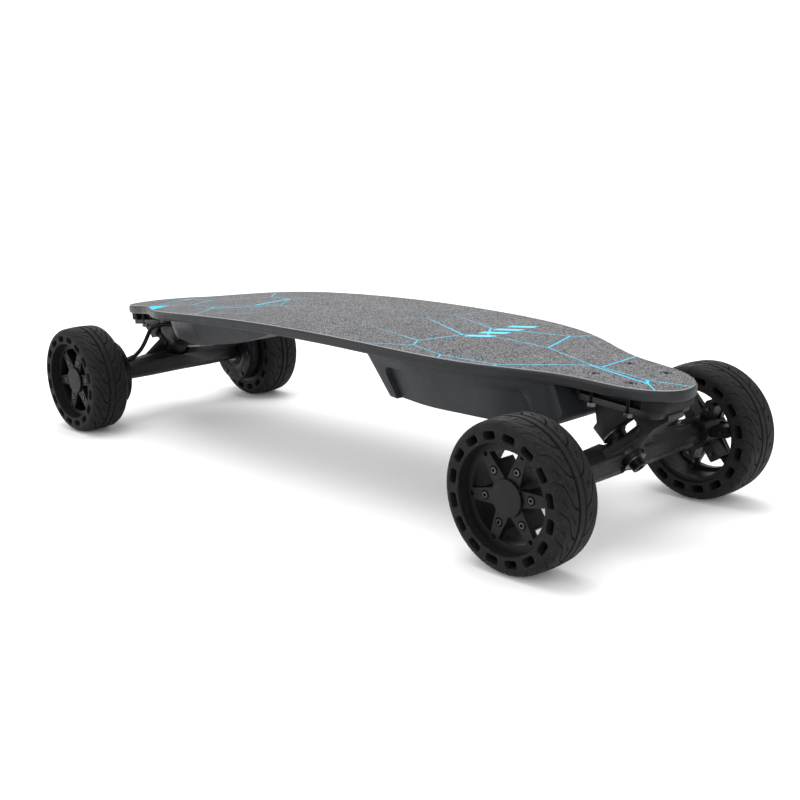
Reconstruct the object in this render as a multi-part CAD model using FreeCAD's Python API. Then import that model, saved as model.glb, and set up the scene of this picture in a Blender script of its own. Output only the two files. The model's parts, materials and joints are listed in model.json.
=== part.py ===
"""Electric skateboard with four airless wheels and two rear hub motors.

Frame: the origin is on the ground, midway between the axles. +X points to the nose, +Y to the
rider's left when facing the nose, +Z up. Lengths are in millimetres.
Each function below makes one kind of piece, and the last section writes one STEP file per node.
"""
import FreeCAD, Part
import math
import os

Vec = FreeCAD.Vector
UP = Vec(0, 0, 1)
SIDEWAYS = Vec(0, 1, 0)

# ---- driving dimensions of the whole board ----
WHEEL_R = 70.0
HALF_WHEELBASE = 388.0
HALF_TRACK = 140.5
DECK_TOP_Z = 176.0
DECK_HALF_LENGTH = 465.0
DECK_HALF_WIDTH = 112.5
CAMBER_R = 3750.0
FLAT_END_X = 345.0
DECK_THICKNESS = 10.4
GRIP_THICKNESS = 0.9
GRIP_INSET = 1.6
EDGE_ROUND = 2.6

# ---- truck mounting: the common skateboard hole pattern ----
BOLT_CENTRE_X = 400.3
BOLT_SPACING_X = 41.3
BOLT_SPACING_Y = 53.8
BOLT_R = 2.5
BOLT_HOLE_R = 2.75
BOLT_HEAD_R = 4.6
BOLT_SINK_R = 5.6
BOLT_SINK_DEPTH = 3.2
RISER_THICKNESS = 11.0
PLATE_THICKNESS = 6.0

# ---- truck geometry ----
RING_CENTRE = Vec(396, 0, 80.5)
STEER_ANGLE = 48.0
PIVOT_REACH = 44.0
PIVOT_TIP_R = 6.5
PIVOT_CUP_WALL = 2.2
RING_R = 15.5
RING_THICKNESS = 12.0
RING_HOLE_R = 8.2
KINGPIN_R = 4.75
KINGPIN_HEAD_R = 7.4
KINGPIN_HEAD_HEIGHT = 7.2
KINGPIN_IN_BOSS = 12.0
BUSHING_R = 11.5
BOARD_BUSHING = 11.5
ROAD_BUSHING = 7.5
COLLAR = 3.0
BOSS_R = 12.3
BOSS_LENGTH = 16.0
CUP_WASHER = 1.5
CUP_WASHER_R = 12.6
STACK_ROOM = 3.2
MOVING_GAP = 0.8
STEER_LIMIT = 20.0
BARREL_R = 12.0
FRONT_BARREL_END_Y = 118.5
REAR_BARREL_END_Y = 94.5
AXLE_COLLAR_R = 14.5
AXLE_COLLAR = 1.4

# ---- wheels: u is the distance outwards from the middle plane of the wheel ----
TYRE_HALF_WIDTH = 25.75
TYRE_SHOULDER = 9.6
TYRE_CROWN = 0.8
TYRE_BORE_R = 50.0
SLOT_COUNT = 16
SLOT_INNER_R = 53.2
SLOT_OUTER_R = 60.3
SLOT_WIDTH = 13.4
SLOT_CORNER = 2.2
SEAT_GAP = 0.05
RING_INNER_R = 42.2
RING_FACE_U = 15.5
SPOKE_COUNT = 6
SPOKE_PHASE = 6.0
SPOKE_INNER_WIDTH = 15.0
SPOKE_OUTER_WIDTH = 9.5
SPOKE_PLATE = 6.5
RIB_REACH = 34.0
RIB_WIDTH = 11.5
RIB_DEPTH_U = -9.0
CAP_R = 17.2
CAP_FACE_U = 18.4
CAP_WALL = 1.8
SCREW_CIRCLE_R = 26.8
SCREW_HEAD_R = 3.3
SCREW_RECESS_R = 4.3
RING_HOLE_CIRCLE_R = 43.0
RING_SMALL_HOLE_R = 2.3
CORE_R = 17.0

# ---- front axle and its bearings (608 size) ----
AXLE_R = 4.0
BEARING_R = 11.0
BEARING_WIDTH = 7.0
INNER_BEARING_U = -19.0
OUTER_BEARING_U = 1.5
RUNNING_GAP = 0.05

# ---- rear hub motor ----
CAN_R = 44.0
CAN_INNER_U = -44.0
CAN_OUTER_U = 5.0
CAN_WALL = 2.4
MAGNET_THICKNESS = 2.6
STATOR_R = 38.2
MOTOR_AXLE_R = 6.0
MOTOR_BEARING_R = 14.0
MOTOR_BEARING_WIDTH = 8.0
MOTOR_COVER_THICKNESS = 4.0
COVER_SCREW_CIRCLE_R = 38.0
COVER_SCREW_R = 1.5

# ---- enclosures under the deck: corners as (x, half width, corner radius), nose half ----
WALL = 2.8
PANEL_DEPTH = 6.5
SEAL_THICKNESS = 1.2
TOP_Z = 166.0
LOW_Z = 98.0
BATTERY_TOP = [(121, 92, 16), (200, 102, 140), (282, 86, 70), (345, 52, 20)]
BATTERY_LOW = [(155, 76, 14), (215, 83, 140), (290, 73, 70), (363, 38, 22)]
BATTERY_SIDE = [(118, 175, 0), (151, 112.5, 12), (357, 101.9, 14), (341, 175, 0)]
BATTERY_PANEL = [(158, 146.5, 8), (174, 96, 0), (338, 90, 0), (322, 138.5, 9), (215, 146.0, 60)]
ESC_TOP = [(-343, 50, 26), (-285, 78, 70), (-190, 92, 140), (-20, 74, 12)]
ESC_LOW = [(-322, 42, 26), (-280, 60, 60), (-190, 72, 140), (-26, 66, 12)]
ESC_SIDE = [(-350, 175, 0), (-320, 125.5, 16), (-228, 121.5, 60), (-110, 138.5, 220), (-8, 168, 0),
            (-8, 175, 0)]
ESC_PANEL = [(-380, 180, 0), (-380, 90, 0), (-196, 90, 0), (-196, 125.8, 2), (-250, 127.8, 13),
             (-275, 180, 0)]
BATTERY_SCREWS = [(170, 58), (232, 64), (318, 44)]
ESC_SCREWS = [(-296, 38), (-225, 53), (-60, 54)]
PILLAR_R = 5.0
ENCLOSURE_SCREW_R = 2.0

# ---- power button and charging socket, on the battery tray's sloping rear wall ----
PANEL_POINT_Z = 138.0
BUTTON_Y = 34.0
BUTTON_R = 7.5
BUTTON_TRAVEL = 1.2
PORT_Y = -34.0
PORT_R = 5.5
PORT_BORE_R = 4.0
PORT_DEPTH = 14.0

# ---- motor leads ----
CABLE_R = 2.8


# ---------------------------------------------------------------- small helpers
def sides():
    """The two sides of the board: left is +Y, right is -Y."""
    return (("left", 1), ("right", -1))


def deck_top(x):
    """Height of the deck's top surface: a shallow arch with straight ends."""
    inner = min(abs(x), FLAT_END_X)
    drop = CAMBER_R - math.sqrt(CAMBER_R ** 2 - inner ** 2)
    slope = inner / math.sqrt(CAMBER_R ** 2 - inner ** 2)
    return DECK_TOP_Z - drop - (abs(x) - inner) * slope


END_TILT = math.degrees(math.asin(FLAT_END_X / CAMBER_R))


def polygon(points):
    """A closed wire through points."""
    return Part.makePolygon(list(points) + [points[0]])


def prism(points, direction):
    """The solid swept by the closed outline through points along direction."""
    return Part.Face(polygon(points)).extrude(direction)


def cylinder(radius, length, base, axis):
    return Part.makeCylinder(radius, length, base, axis)


def tube(outer_r, inner_r, length, base, axis):
    return cylinder(outer_r, length, base, axis).cut(cylinder(inner_r, length, base, axis))


def hexagon(across_flats, length, base, axis):
    """A hexagonal prism standing on base along axis."""
    corner_r = across_flats / math.sqrt(3)
    corners = [Vec(corner_r * math.cos(math.radians(60 * n)),
                   corner_r * math.sin(math.radians(60 * n)), 0) for n in range(6)]
    solid = prism(corners, Vec(0, 0, length))
    solid.Placement = FreeCAD.Placement(base, FreeCAD.Rotation(UP, axis))
    return solid


def box(low, high):
    """An upright box from its lowest corner to its highest."""
    size = Vec(*high) - Vec(*low)
    return Part.makeBox(size.x, size.y, size.z, Vec(*low))


def revolve(profile):
    """The solid made by turning closed (u, r) points about the Y axis, with u along +Y."""
    face = Part.Face(polygon([Vec(r, u, 0) for u, r in profile]))
    return face.revolve(Vec(0, 0, 0), SIDEWAYS, 360)


def join(solids):
    """One shape fused from several overlapping solids."""
    return solids[0].fuse(solids[1:]).removeSplitter()


def group(solids):
    """Separate solids that share one node."""
    return Part.makeCompound(solids)


def turned(shape, degrees, axis=SIDEWAYS, centre=Vec(0, 0, 0)):
    copy = shape.copy()
    copy.rotate(centre, axis, degrees)
    return copy


def moved(shape, offset):
    copy = shape.copy()
    copy.translate(offset)
    return copy


def mirrored(shape, normal):
    """The shape mirrored in the plane through the origin with this normal."""
    return shape.mirror(Vec(0, 0, 0), normal)


def around(shape, count, axis=SIDEWAYS, first=0.0):
    """Copies of a shape spaced evenly about an axis through the origin."""
    return [turned(shape, first + 360.0 * n / count, axis) for n in range(count)]


def at_wheel(shape, end, side):
    """Place a wheel piece, modelled with +Y outwards, so that left and right wheels mirror each other."""
    placed = mirrored(shape, Vec(1, 0, 0)) if side > 0 else turned(shape, 180, UP)
    return moved(placed, Vec(end * HALF_WHEELBASE, side * HALF_TRACK, WHEEL_R))


# ---------------------------------------------------------------- deck
def deck_outline(inset):
    """The plan outline of the deck as a face at z = 0, drawn in by inset."""
    quarter = [(455, 26), (434, 41), (400, 49), (372, 53.5), (345, 63.5), (310, 81.5), (270, 97.5),
               (225, 106.5), (140, 111.3)]
    nose_left = [Vec(x, y, 0) for x, y in quarter]
    tail_left = [Vec(-p.x, p.y, 0) for p in reversed(nose_left)]
    left = nose_left + [Vec(0, DECK_HALF_WIDTH, 0)] + tail_left
    right = [Vec(p.x, -p.y, 0) for p in reversed(left)]
    loop = [Vec(DECK_HALF_LENGTH, 0, 0)] + left + [Vec(-DECK_HALF_LENGTH, 0, 0)] + right
    drawn_in = []
    for n, here in enumerate(loop):
        along = loop[(n + 1) % len(loop)] - loop[n - 1]
        inwards = Vec(-along.y, along.x, 0).normalize()
        drawn_in.append(here + inwards * inset)
    curve = Part.BSplineCurve()
    curve.interpolate(Points=drawn_in, PeriodicFlag=True)
    return Part.Face(Part.Wire([curve.toShape()]))


def camber_slab(top_offset, thickness):
    """A wide slab that follows the deck's side profile, top_offset below its top surface."""
    upper = camber_curve(-top_offset)
    lower = camber_curve(-top_offset - thickness)
    ends = [Part.makeLine(upper[0].Vertexes[0].Point, lower[0].Vertexes[0].Point),
            Part.makeLine(upper[-1].Vertexes[-1].Point, lower[-1].Vertexes[-1].Point)]
    wire = Part.Wire(Part.__sortEdges__(upper + lower + ends))
    return Part.Face(wire).extrude(Vec(0, 400, 0))


def camber_curve(offset):
    """The deck's side profile, shifted along Z: a straight end, the arch and a straight end."""
    reach = DECK_HALF_LENGTH + 20
    tail, arch_tail, arch_top, arch_nose, nose = [
        Vec(x, -200, deck_top(x) + offset) for x in (-reach, -FLAT_END_X, 0, FLAT_END_X, reach)]
    return [Part.makeLine(tail, arch_tail),
            Part.Arc(arch_tail, arch_top, arch_nose).toShape(),
            Part.makeLine(arch_nose, nose)]


def bolt_spots():
    """The eight deck bolts: x, y and the end of the board they are at."""
    return [(end * BOLT_CENTRE_X + dx, dy, end) for end in (1, -1)
            for dx in (-BOLT_SPACING_X / 2, BOLT_SPACING_X / 2)
            for dy in (-BOLT_SPACING_Y / 2, BOLT_SPACING_Y / 2)]


def deck_down(end):
    """Unit vector straight down through the tilted end of the deck."""
    tilt = math.radians(END_TILT)
    return Vec(-end * math.sin(tilt), 0, -math.cos(tilt))


def bolt_head_seat(x, y):
    """The point where a bolt's axis meets the deck's top surface."""
    return Vec(x, y, deck_top(x))


def bolt_hole(x, y, end, radius, start, length):
    """A cylinder on a bolt's axis, from start below the deck's top surface."""
    down = deck_down(end)
    return cylinder(radius, length, bolt_head_seat(x, y) + down * start, down)


def make_deck():
    slab = camber_slab(GRIP_THICKNESS, DECK_THICKNESS)
    plan = deck_outline(0).extrude(Vec(0, 0, 300))
    deck = plan.common(slab)
    rims = [edge for edge in deck.Edges if min(edge.BoundBox.XLength, edge.BoundBox.YLength) > 20]
    deck = deck.makeFillet(EDGE_ROUND, rims)
    for x, y, end in bolt_spots():
        deck = deck.cut(bolt_hole(x, y, end, BOLT_HOLE_R, -1, 30))
        deck = deck.cut(bolt_hole(x, y, end, BOLT_SINK_R, -1, 1 + BOLT_SINK_DEPTH))
    return deck


def make_grip_tape():
    slab = camber_slab(0, GRIP_THICKNESS)
    tape = deck_outline(GRIP_INSET).extrude(Vec(0, 0, 300)).common(slab)
    for x, y, end in bolt_spots():
        tape = tape.cut(bolt_hole(x, y, end, BOLT_SINK_R + 0.4, -1, 5))
    return tape


BOLT_KEY = 4.0
BOLT_KEY_DEPTH = 2.2
BOLT_BEYOND_PLATE = 4.5
DECK_NUT_WIDTH = 8.0
DECK_NUT_HEIGHT = 4.0


def make_deck_bolts():
    stack = DECK_THICKNESS + GRIP_THICKNESS + RISER_THICKNESS + PLATE_THICKNESS
    bolts = []
    for x, y, end in bolt_spots():
        head = bolt_hole(x, y, end, BOLT_HEAD_R, 0.6, BOLT_SINK_DEPTH - 0.6)
        shank = bolt_hole(x, y, end, BOLT_R, BOLT_SINK_DEPTH, stack + BOLT_BEYOND_PLATE - BOLT_SINK_DEPTH)
        socket = hexagon(BOLT_KEY, BOLT_KEY_DEPTH, bolt_head_seat(x, y) + deck_down(end) * 0.5,
                         deck_down(end))
        bolts.append(head.fuse(shank).cut(socket))
    return group(bolts)


def make_deck_nuts():
    stack = DECK_THICKNESS + GRIP_THICKNESS + RISER_THICKNESS + PLATE_THICKNESS
    nuts = []
    for x, y, end in bolt_spots():
        base = bolt_head_seat(x, y) + deck_down(end) * stack
        nut = hexagon(DECK_NUT_WIDTH, DECK_NUT_HEIGHT, base, deck_down(end))
        nuts.append(nut.cut(cylinder(BOLT_R, 10, base, deck_down(end))))
    return group(nuts)


# ---------------------------------------------------------------- truck, modelled at the nose
def tilted_plate(x_inner, x_outer, half_width, top, thickness, corner):
    """A rounded plate lying along the tilted deck end, its top face a distance below the deck's top."""
    mid = Vec(BOLT_CENTRE_X, 0, deck_top(BOLT_CENTRE_X))
    plate = box((x_inner - BOLT_CENTRE_X, -half_width, -top - thickness),
                (x_outer - BOLT_CENTRE_X, half_width, -top))
    upright = [edge for edge in plate.Edges if edge.BoundBox.ZLength > thickness / 2]
    plate = plate.makeFillet(corner, upright)
    return moved(turned(plate, END_TILT), mid)


def truck_holes(start, length):
    """The four bolt holes at the nose, as one cutting shape."""
    return group([bolt_hole(x, y, end, BOLT_HOLE_R, start, length)
                  for x, y, end in bolt_spots() if end > 0])


STEER = Vec(math.cos(math.radians(STEER_ANGLE)), 0, math.sin(math.radians(STEER_ANGLE)))
KING = Vec(math.sin(math.radians(STEER_ANGLE)), 0, -math.cos(math.radians(STEER_ANGLE)))
SEAT_DISTANCE = RING_THICKNESS / 2 + BOARD_BUSHING + CUP_WASHER
PIVOT_TIP = RING_CENTRE + STEER * PIVOT_REACH
DECK_BOTTOM = DECK_THICKNESS + GRIP_THICKNESS


def make_riser():
    """The pad between deck and plate, with open notches where the bolts pass at its sides."""
    pad = tilted_plate(356, 456, 31, DECK_BOTTOM, RISER_THICKNESS, 12)
    notches = tilted_plate(366, 436, 45, DECK_BOTTOM - 1, RISER_THICKNESS + 2, 5)
    notches = notches.cut(tilted_plate(340, 470, 23.5, DECK_BOTTOM - 2, RISER_THICKNESS + 4, 3))
    return pad.cut(notches).cut(truck_holes(0, 40))


def pivot_cup_pocket(extra):
    """The round pocket in the baseplate that takes the pivot cup."""
    radius = PIVOT_TIP_R + PIVOT_CUP_WALL + extra
    mouth = PIVOT_TIP - STEER * (PIVOT_TIP_R + 3.5)
    return cylinder(radius, 2 * PIVOT_TIP_R + 5.0 + extra, mouth, STEER)


def make_baseplate():
    plate_top = DECK_BOTTOM + RISER_THICKNESS
    plate = tilted_plate(358, 452, 29, plate_top, PLATE_THICKNESS, 9)
    seat = RING_CENTRE - KING * SEAT_DISTANCE
    boss = kingpin_boss(0)
    mouth = PIVOT_TIP - STEER * (PIVOT_TIP_R + 0.5)
    housing_side = [mouth - KING * 11.5, mouth + KING * 10, PIVOT_TIP + STEER * 3 + KING * 10,
                    Vec(451, 0, 119), Vec(451, 0, 124), Vec(402, 0, 126)]
    housing = prism([moved_y(p, -12) for p in housing_side], Vec(0, 24, 0))
    body = join([plate, boss, housing])
    body = body.cut(tilted_plate(300, 500, 60, -20, plate_top + 20, 1))
    bore = cylinder(KINGPIN_R + 0.02, KINGPIN_IN_BOSS + 1, seat, KING * -1)
    return body.cut(pivot_cup_pocket(0)).cut(bore).cut(truck_holes(0, 45))


def kingpin_boss(gap):
    """The round boss under the plate that holds the kingpin, grown by gap at its seat and its sides."""
    half_width = 11 + gap
    seat = RING_CENTRE - KING * (SEAT_DISTANCE - gap)
    side = [seat + STEER * (BOSS_R + gap), seat, seat - KING * BOSS_LENGTH, Vec(366.5 - gap, 0, 129),
            Vec(404, 0, 125), Vec(404 + gap, 0, 113)]
    web = prism([moved_y(p, -half_width) for p in side], Vec(0, 2 * half_width, 0))
    return web.fuse(cylinder(BOSS_R + gap, BOSS_LENGTH, seat, KING * -1))


def moved_y(point, y):
    return Vec(point.x, y, point.z)


def pivot_stem(gap):
    """The hanger's pivot: a taper from the ring to a ball-ended tip, grown by gap."""
    start = RING_CENTRE + STEER * (RING_R - 2)
    taper_length = PIVOT_REACH - RING_R + 2 - PIVOT_TIP_R
    taper = Part.makeCone(10.0 + gap, PIVOT_TIP_R + gap, taper_length, start, STEER)
    ball = Part.makeSphere(PIVOT_TIP_R + gap, PIVOT_TIP - STEER * PIVOT_TIP_R)
    return taper.fuse(ball)


def make_pivot_cup():
    return pivot_cup_pocket(0).cut(pivot_stem(0.3))


def kingpin_stack(offset, length, radius, inner_r):
    """A ring on the kingpin's axis, from offset along it (0 at the hanger ring's middle)."""
    return tube(radius, inner_r, length, RING_CENTRE + KING * offset, KING)


def make_bushings():
    half = RING_THICKNESS / 2
    hole = KINGPIN_R + 0.3
    board_side = kingpin_stack(-half - BOARD_BUSHING, BOARD_BUSHING, BUSHING_R, hole)
    waist = Part.makeTorus(BUSHING_R + 3.6, 4.2, RING_CENTRE - KING * (half + BOARD_BUSHING / 2), KING)
    road_base = RING_CENTRE + KING * half
    road_side = Part.makeCone(BUSHING_R, BUSHING_R - 1.6, ROAD_BUSHING, road_base, KING)
    road_side = road_side.cut(cylinder(hole, ROAD_BUSHING, road_base, KING))
    return group([board_side.cut(waist), road_side])


def make_washers():
    half = RING_THICKNESS / 2
    hole = KINGPIN_R + 0.1
    upper = kingpin_stack(-half - BOARD_BUSHING - CUP_WASHER, CUP_WASHER, CUP_WASHER_R, hole)
    lower = kingpin_stack(half + ROAD_BUSHING, CUP_WASHER, CUP_WASHER_R - 0.8, hole)
    return group([upper, lower])


def make_kingpin():
    head_start = RING_THICKNESS / 2 + ROAD_BUSHING + CUP_WASHER
    shank_start = -SEAT_DISTANCE - KINGPIN_IN_BOSS
    shank = cylinder(KINGPIN_R, head_start - shank_start, RING_CENTRE + KING * shank_start, KING)
    head_base = RING_CENTRE + KING * head_start
    head = cylinder(KINGPIN_HEAD_R, KINGPIN_HEAD_HEIGHT, head_base, KING)
    head = head.makeFillet(0.8, [edge_at(head, head_base + KING * KINGPIN_HEAD_HEIGHT)])
    socket = hexagon(8.0, 5.0, head_base + KING * (KINGPIN_HEAD_HEIGHT - 4.6), KING)
    return head.fuse(shank).cut(socket)


def edge_at(solid, centre):
    """The round edge of a solid that is centred on a point."""
    rounds = [edge for edge in solid.Edges if edge.Curve.TypeId == "Part::GeomCircle"]
    return min(rounds, key=lambda edge: (edge.Curve.Center - centre).Length)


def hanger_arm(barrel_end_y, web_top_z, web_reach_y):
    """The right half of a hanger: a flared arm with flat facets that ends in a round barrel."""
    sections = []
    axle_x = HALF_WHEELBASE
    stations = [(0, 17, 59.5, web_top_z), (web_reach_y, 15, 58.8, 86),
                (barrel_end_y - 12, 11.2, 58.8, 81.2)]
    for y, half, bottom, top in stations:
        chamfer = half * 0.42
        points = [Vec(axle_x - half, y, bottom + chamfer), Vec(axle_x - half + chamfer, y, bottom),
                  Vec(axle_x + half - chamfer, y, bottom), Vec(axle_x + half, y, bottom + chamfer),
                  Vec(axle_x + half, y, top - chamfer), Vec(axle_x + half - chamfer, y, top),
                  Vec(axle_x - half + chamfer, y, top), Vec(axle_x - half, y, top - chamfer)]
        sections.append(polygon(points))
    arm = Part.makeLoft(sections, True, True)
    barrel = cylinder(BARREL_R, 26, Vec(axle_x, barrel_end_y - 26, WHEEL_R), SIDEWAYS)
    return arm.fuse(barrel)


def make_hanger(barrel_end_y, web_top_z, web_reach_y, bore_r):
    left = hanger_arm(barrel_end_y, web_top_z, web_reach_y)
    ring_body = cylinder(RING_R, RING_THICKNESS + COLLAR, RING_CENTRE - KING * (RING_THICKNESS / 2), KING)
    web = hanger_web(web_reach_y)
    body = join([left, mirrored(left, SIDEWAYS), ring_body, web, pivot_stem(0)])
    body = body.cut(bushing_space())
    body = body.cut(cylinder(RING_HOLE_R, 60, RING_CENTRE - KING * 30, KING))
    for _, side in sides():
        mouth = Vec(HALF_WHEELBASE, side * barrel_end_y, WHEEL_R)
        body = body.cut(cylinder(bore_r, 52, mouth, SIDEWAYS * -side))
    return body


def hanger_web(reach_y):
    """The triangular wall that runs from the pivot stem down onto both arms."""
    along = STEER * (PIVOT_REACH - 17)
    top = RING_CENTRE + along
    foot = RING_CENTRE + STEER * 2
    points = [Vec(top.x, 8, top.z), Vec(top.x, -8, top.z), Vec(foot.x, -reach_y, foot.z),
              Vec(foot.x, reach_y, foot.z)]
    face = Part.Face(polygon(points))
    return moved(face, KING * -4).extrude(KING * 8)


def bushing_space():
    """Room in the hanger for the kingpin stack and the plate's boss, at every steering angle."""
    half = RING_THICKNESS / 2
    rooms = [cylinder(CUP_WASHER_R + STACK_ROOM, 40, RING_CENTRE - KING * half, KING * -1),
             cylinder(BUSHING_R + 0.6, COLLAR + 0.1, RING_CENTRE + KING * half, KING),
             cylinder(CUP_WASHER_R + STACK_ROOM, 40, RING_CENTRE + KING * (half + COLLAR), KING)]
    for share in (-1, -0.5, 0.5, 1):
        for reach, way in ((half + BOARD_BUSHING, -1), (half + ROAD_BUSHING, 1)):
            start = RING_CENTRE + KING * (way * (reach - 1.5))
            swept = cylinder(CUP_WASHER_R + MOVING_GAP, 40, start, KING * way)
            rooms.append(turned(swept, share * STEER_LIMIT, STEER, RING_CENTRE))
        rooms.append(turned(kingpin_boss(MOVING_GAP), share * STEER_LIMIT, STEER, RING_CENTRE))
    stem = Part.makeCone(12.5, 8.5, 34, RING_CENTRE + STEER * (RING_R - 3), STEER)
    return join(rooms).cut(stem)


def make_front_axles():
    length = 36 + (HALF_TRACK - FRONT_BARREL_END_Y) + OUTER_BEARING_U + BEARING_WIDTH + 7.6
    stubs = []
    for _, side in sides():
        start = Vec(HALF_WHEELBASE, side * (FRONT_BARREL_END_Y - 36), WHEEL_R)
        stub = cylinder(AXLE_R, length, start, SIDEWAYS * side)
        shoulder_length = HALF_TRACK + INNER_BEARING_U - FRONT_BARREL_END_Y - 0.2
        mouth = Vec(HALF_WHEELBASE, side * FRONT_BARREL_END_Y, WHEEL_R)
        spacer = tube(7.0, AXLE_R, shoulder_length, mouth, SIDEWAYS * side)
        stubs.append(stub.fuse(spacer))
    return group(stubs)


def make_front_axle_nuts():
    nuts = []
    for _, side in sides():
        start = side * (HALF_TRACK + OUTER_BEARING_U + BEARING_WIDTH + 0.3)
        base = Vec(HALF_WHEELBASE, start, WHEEL_R)
        nut = hexagon(13.0, 6.0, base, SIDEWAYS * side)
        nuts.append(nut.cut(cylinder(AXLE_R, 10, base, SIDEWAYS * side)))
    return group(nuts)


# ---------------------------------------------------------------- wheels, modelled with +Y outwards
def make_tyre(bore_r):
    width = TYRE_HALF_WIDTH
    flat = width - TYRE_SHOULDER
    shoulder_r = WHEEL_R - TYRE_CROWN
    outer = [Part.Arc(Vec(shoulder_r, -flat, 0), Vec(WHEEL_R, 0, 0), Vec(shoulder_r, flat, 0)).toShape(),
             shoulder_arc(flat, 1), shoulder_arc(flat, -1)]
    sidewall_r = shoulder_r - TYRE_SHOULDER
    lip = bore_r + 1.2
    inner = [Part.makePolygon([Vec(sidewall_r, side * width, 0), Vec(lip, side * width, 0),
                               Vec(bore_r, side * (width - 1.2), 0), Vec(bore_r, 0, 0)])
             for side in (1, -1)]
    edges = outer + [edge for wire in inner for edge in wire.Edges]
    face = Part.Face(Part.Wire(Part.__sortEdges__(edges)))
    solid = face.revolve(Vec(0, 0, 0), SIDEWAYS, 360)
    slot = box((SLOT_INNER_R, -40, -SLOT_WIDTH / 2), (SLOT_OUTER_R, 40, SLOT_WIDTH / 2))
    slot = slot.makeFillet(SLOT_CORNER, [e for e in slot.Edges if e.BoundBox.YLength > 50])
    return solid.cut(group(around(slot, SLOT_COUNT, SIDEWAYS, 180.0 / SLOT_COUNT)))


def shoulder_arc(flat, side):
    """The rounded shoulder between tread and sidewall."""
    shoulder_r = WHEEL_R - TYRE_CROWN
    half_turn = math.sqrt(0.5)
    middle = Vec(shoulder_r - TYRE_SHOULDER * (1 - half_turn), side * (flat + TYRE_SHOULDER * half_turn), 0)
    return Part.Arc(Vec(shoulder_r, side * flat, 0), middle,
                    Vec(shoulder_r - TYRE_SHOULDER, side * (flat + TYRE_SHOULDER), 0)).toShape()


def spoke_plate():
    """One tapered spoke of the outer face, along +X."""
    inner = SPOKE_INNER_WIDTH / 2
    outer = SPOKE_OUTER_WIDTH / 2
    reach = RING_INNER_R + 1.5
    back = RING_FACE_U - SPOKE_PLATE
    points = [Vec(8, back, -inner), Vec(18, back, -inner), Vec(reach, back, -outer),
              Vec(reach, back, outer), Vec(18, back, inner), Vec(8, back, inner)]
    return prism(points, Vec(0, SPOKE_PLATE, 0))


def spoke_rib(back_u):
    """The thick box behind a spoke that its screw runs into."""
    half = RIB_WIDTH / 2
    rib = box((8, back_u, -half), (RIB_REACH, RING_FACE_U - 2, half))
    return rib.makeFillet(1.2, [edge for edge in rib.Edges if edge.BoundBox.YLength > 5])


def hub_face(rib_back_u, core_length_u):
    """Outer ring, six spokes with their ribs, and the core that they share."""
    back = RING_FACE_U - SPOKE_PLATE
    ring = revolve([(back, RING_INNER_R), (back, 50), (RING_FACE_U, 50), (RING_FACE_U, RING_INNER_R)])
    core = cylinder(CORE_R, RING_FACE_U - core_length_u, Vec(0, core_length_u, 0), SIDEWAYS)
    spokes = around(join([spoke_plate(), spoke_rib(rib_back_u)]), SPOKE_COUNT, SIDEWAYS, SPOKE_PHASE)
    return join([ring, core] + spokes)


def hub_face_holes(solid):
    """Cut the screw recesses and the ring of small holes."""
    recess = cylinder(SCREW_RECESS_R, 10, Vec(SCREW_CIRCLE_R, RING_FACE_U - 2.6, 0), SIDEWAYS)
    thread = cylinder(1.75, 60, Vec(SCREW_CIRCLE_R, -40, 0), SIDEWAYS)
    small = cylinder(RING_SMALL_HOLE_R, 60, Vec(RING_HOLE_CIRCLE_R, CAN_OUTER_U + 1, 0), SIDEWAYS)
    for tool in (recess, thread, small):
        solid = solid.cut(group(around(tool, SPOKE_COUNT, SIDEWAYS, SPOKE_PHASE)))
    return solid


def make_front_hub():
    outer = TYRE_BORE_R - SEAT_GAP
    drum = revolve([(-TYRE_HALF_WIDTH + 4, 45.8), (-TYRE_HALF_WIDTH + 4, outer), (RING_FACE_U, outer),
                    (RING_FACE_U, 46.5), (RING_FACE_U - SPOKE_PLATE, 45.8)])
    hub = join([hub_face(RIB_DEPTH_U, INNER_BEARING_U), drum])
    hub = hub_face_holes(hub)
    inner_seat = cylinder(BEARING_R, BEARING_WIDTH, Vec(0, INNER_BEARING_U, 0), SIDEWAYS)
    outer_seat = cylinder(BEARING_R, 40, Vec(0, OUTER_BEARING_U, 0), SIDEWAYS)
    passage = cylinder(BEARING_R - 2, 60, Vec(0, INNER_BEARING_U, 0), SIDEWAYS)
    return hub.cut(inner_seat).cut(outer_seat).cut(passage)


def bearing(inner_r, outer_r, width, start_u):
    """A sealed ball bearing, with the shallow grooves of its shields."""
    race = (outer_r - inner_r) * 0.28
    ring = tube(outer_r, inner_r, width, Vec(0, start_u, 0), SIDEWAYS)
    for face_u in (start_u - 0.1, start_u + width - 0.4):
        ring = ring.cut(tube(outer_r - race, inner_r + race, 0.5, Vec(0, face_u, 0), SIDEWAYS))
    return ring


def make_front_bearings():
    inner_r = AXLE_R + RUNNING_GAP
    return group([bearing(inner_r, BEARING_R, BEARING_WIDTH, INNER_BEARING_U),
                  bearing(inner_r, BEARING_R, BEARING_WIDTH, OUTER_BEARING_U)])


def make_cap(inside_r):
    """The round dust cap in the middle of the wheel."""
    face = cylinder(CAP_R, CAP_FACE_U - RING_FACE_U, Vec(0, RING_FACE_U, 0), SIDEWAYS)
    face = face.makeFillet(0.8, [edge_at(face, Vec(0, CAP_FACE_U, 0))])
    skirt = cylinder(inside_r - 0.05, 3.5, Vec(0, RING_FACE_U - 3.5, 0), SIDEWAYS)
    hollow = cylinder(inside_r - 1.4, CAP_FACE_U - CAP_WALL - RING_FACE_U + 3.5,
                      Vec(0, RING_FACE_U - 3.5, 0), SIDEWAYS)
    return face.fuse(skirt).cut(hollow)


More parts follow.
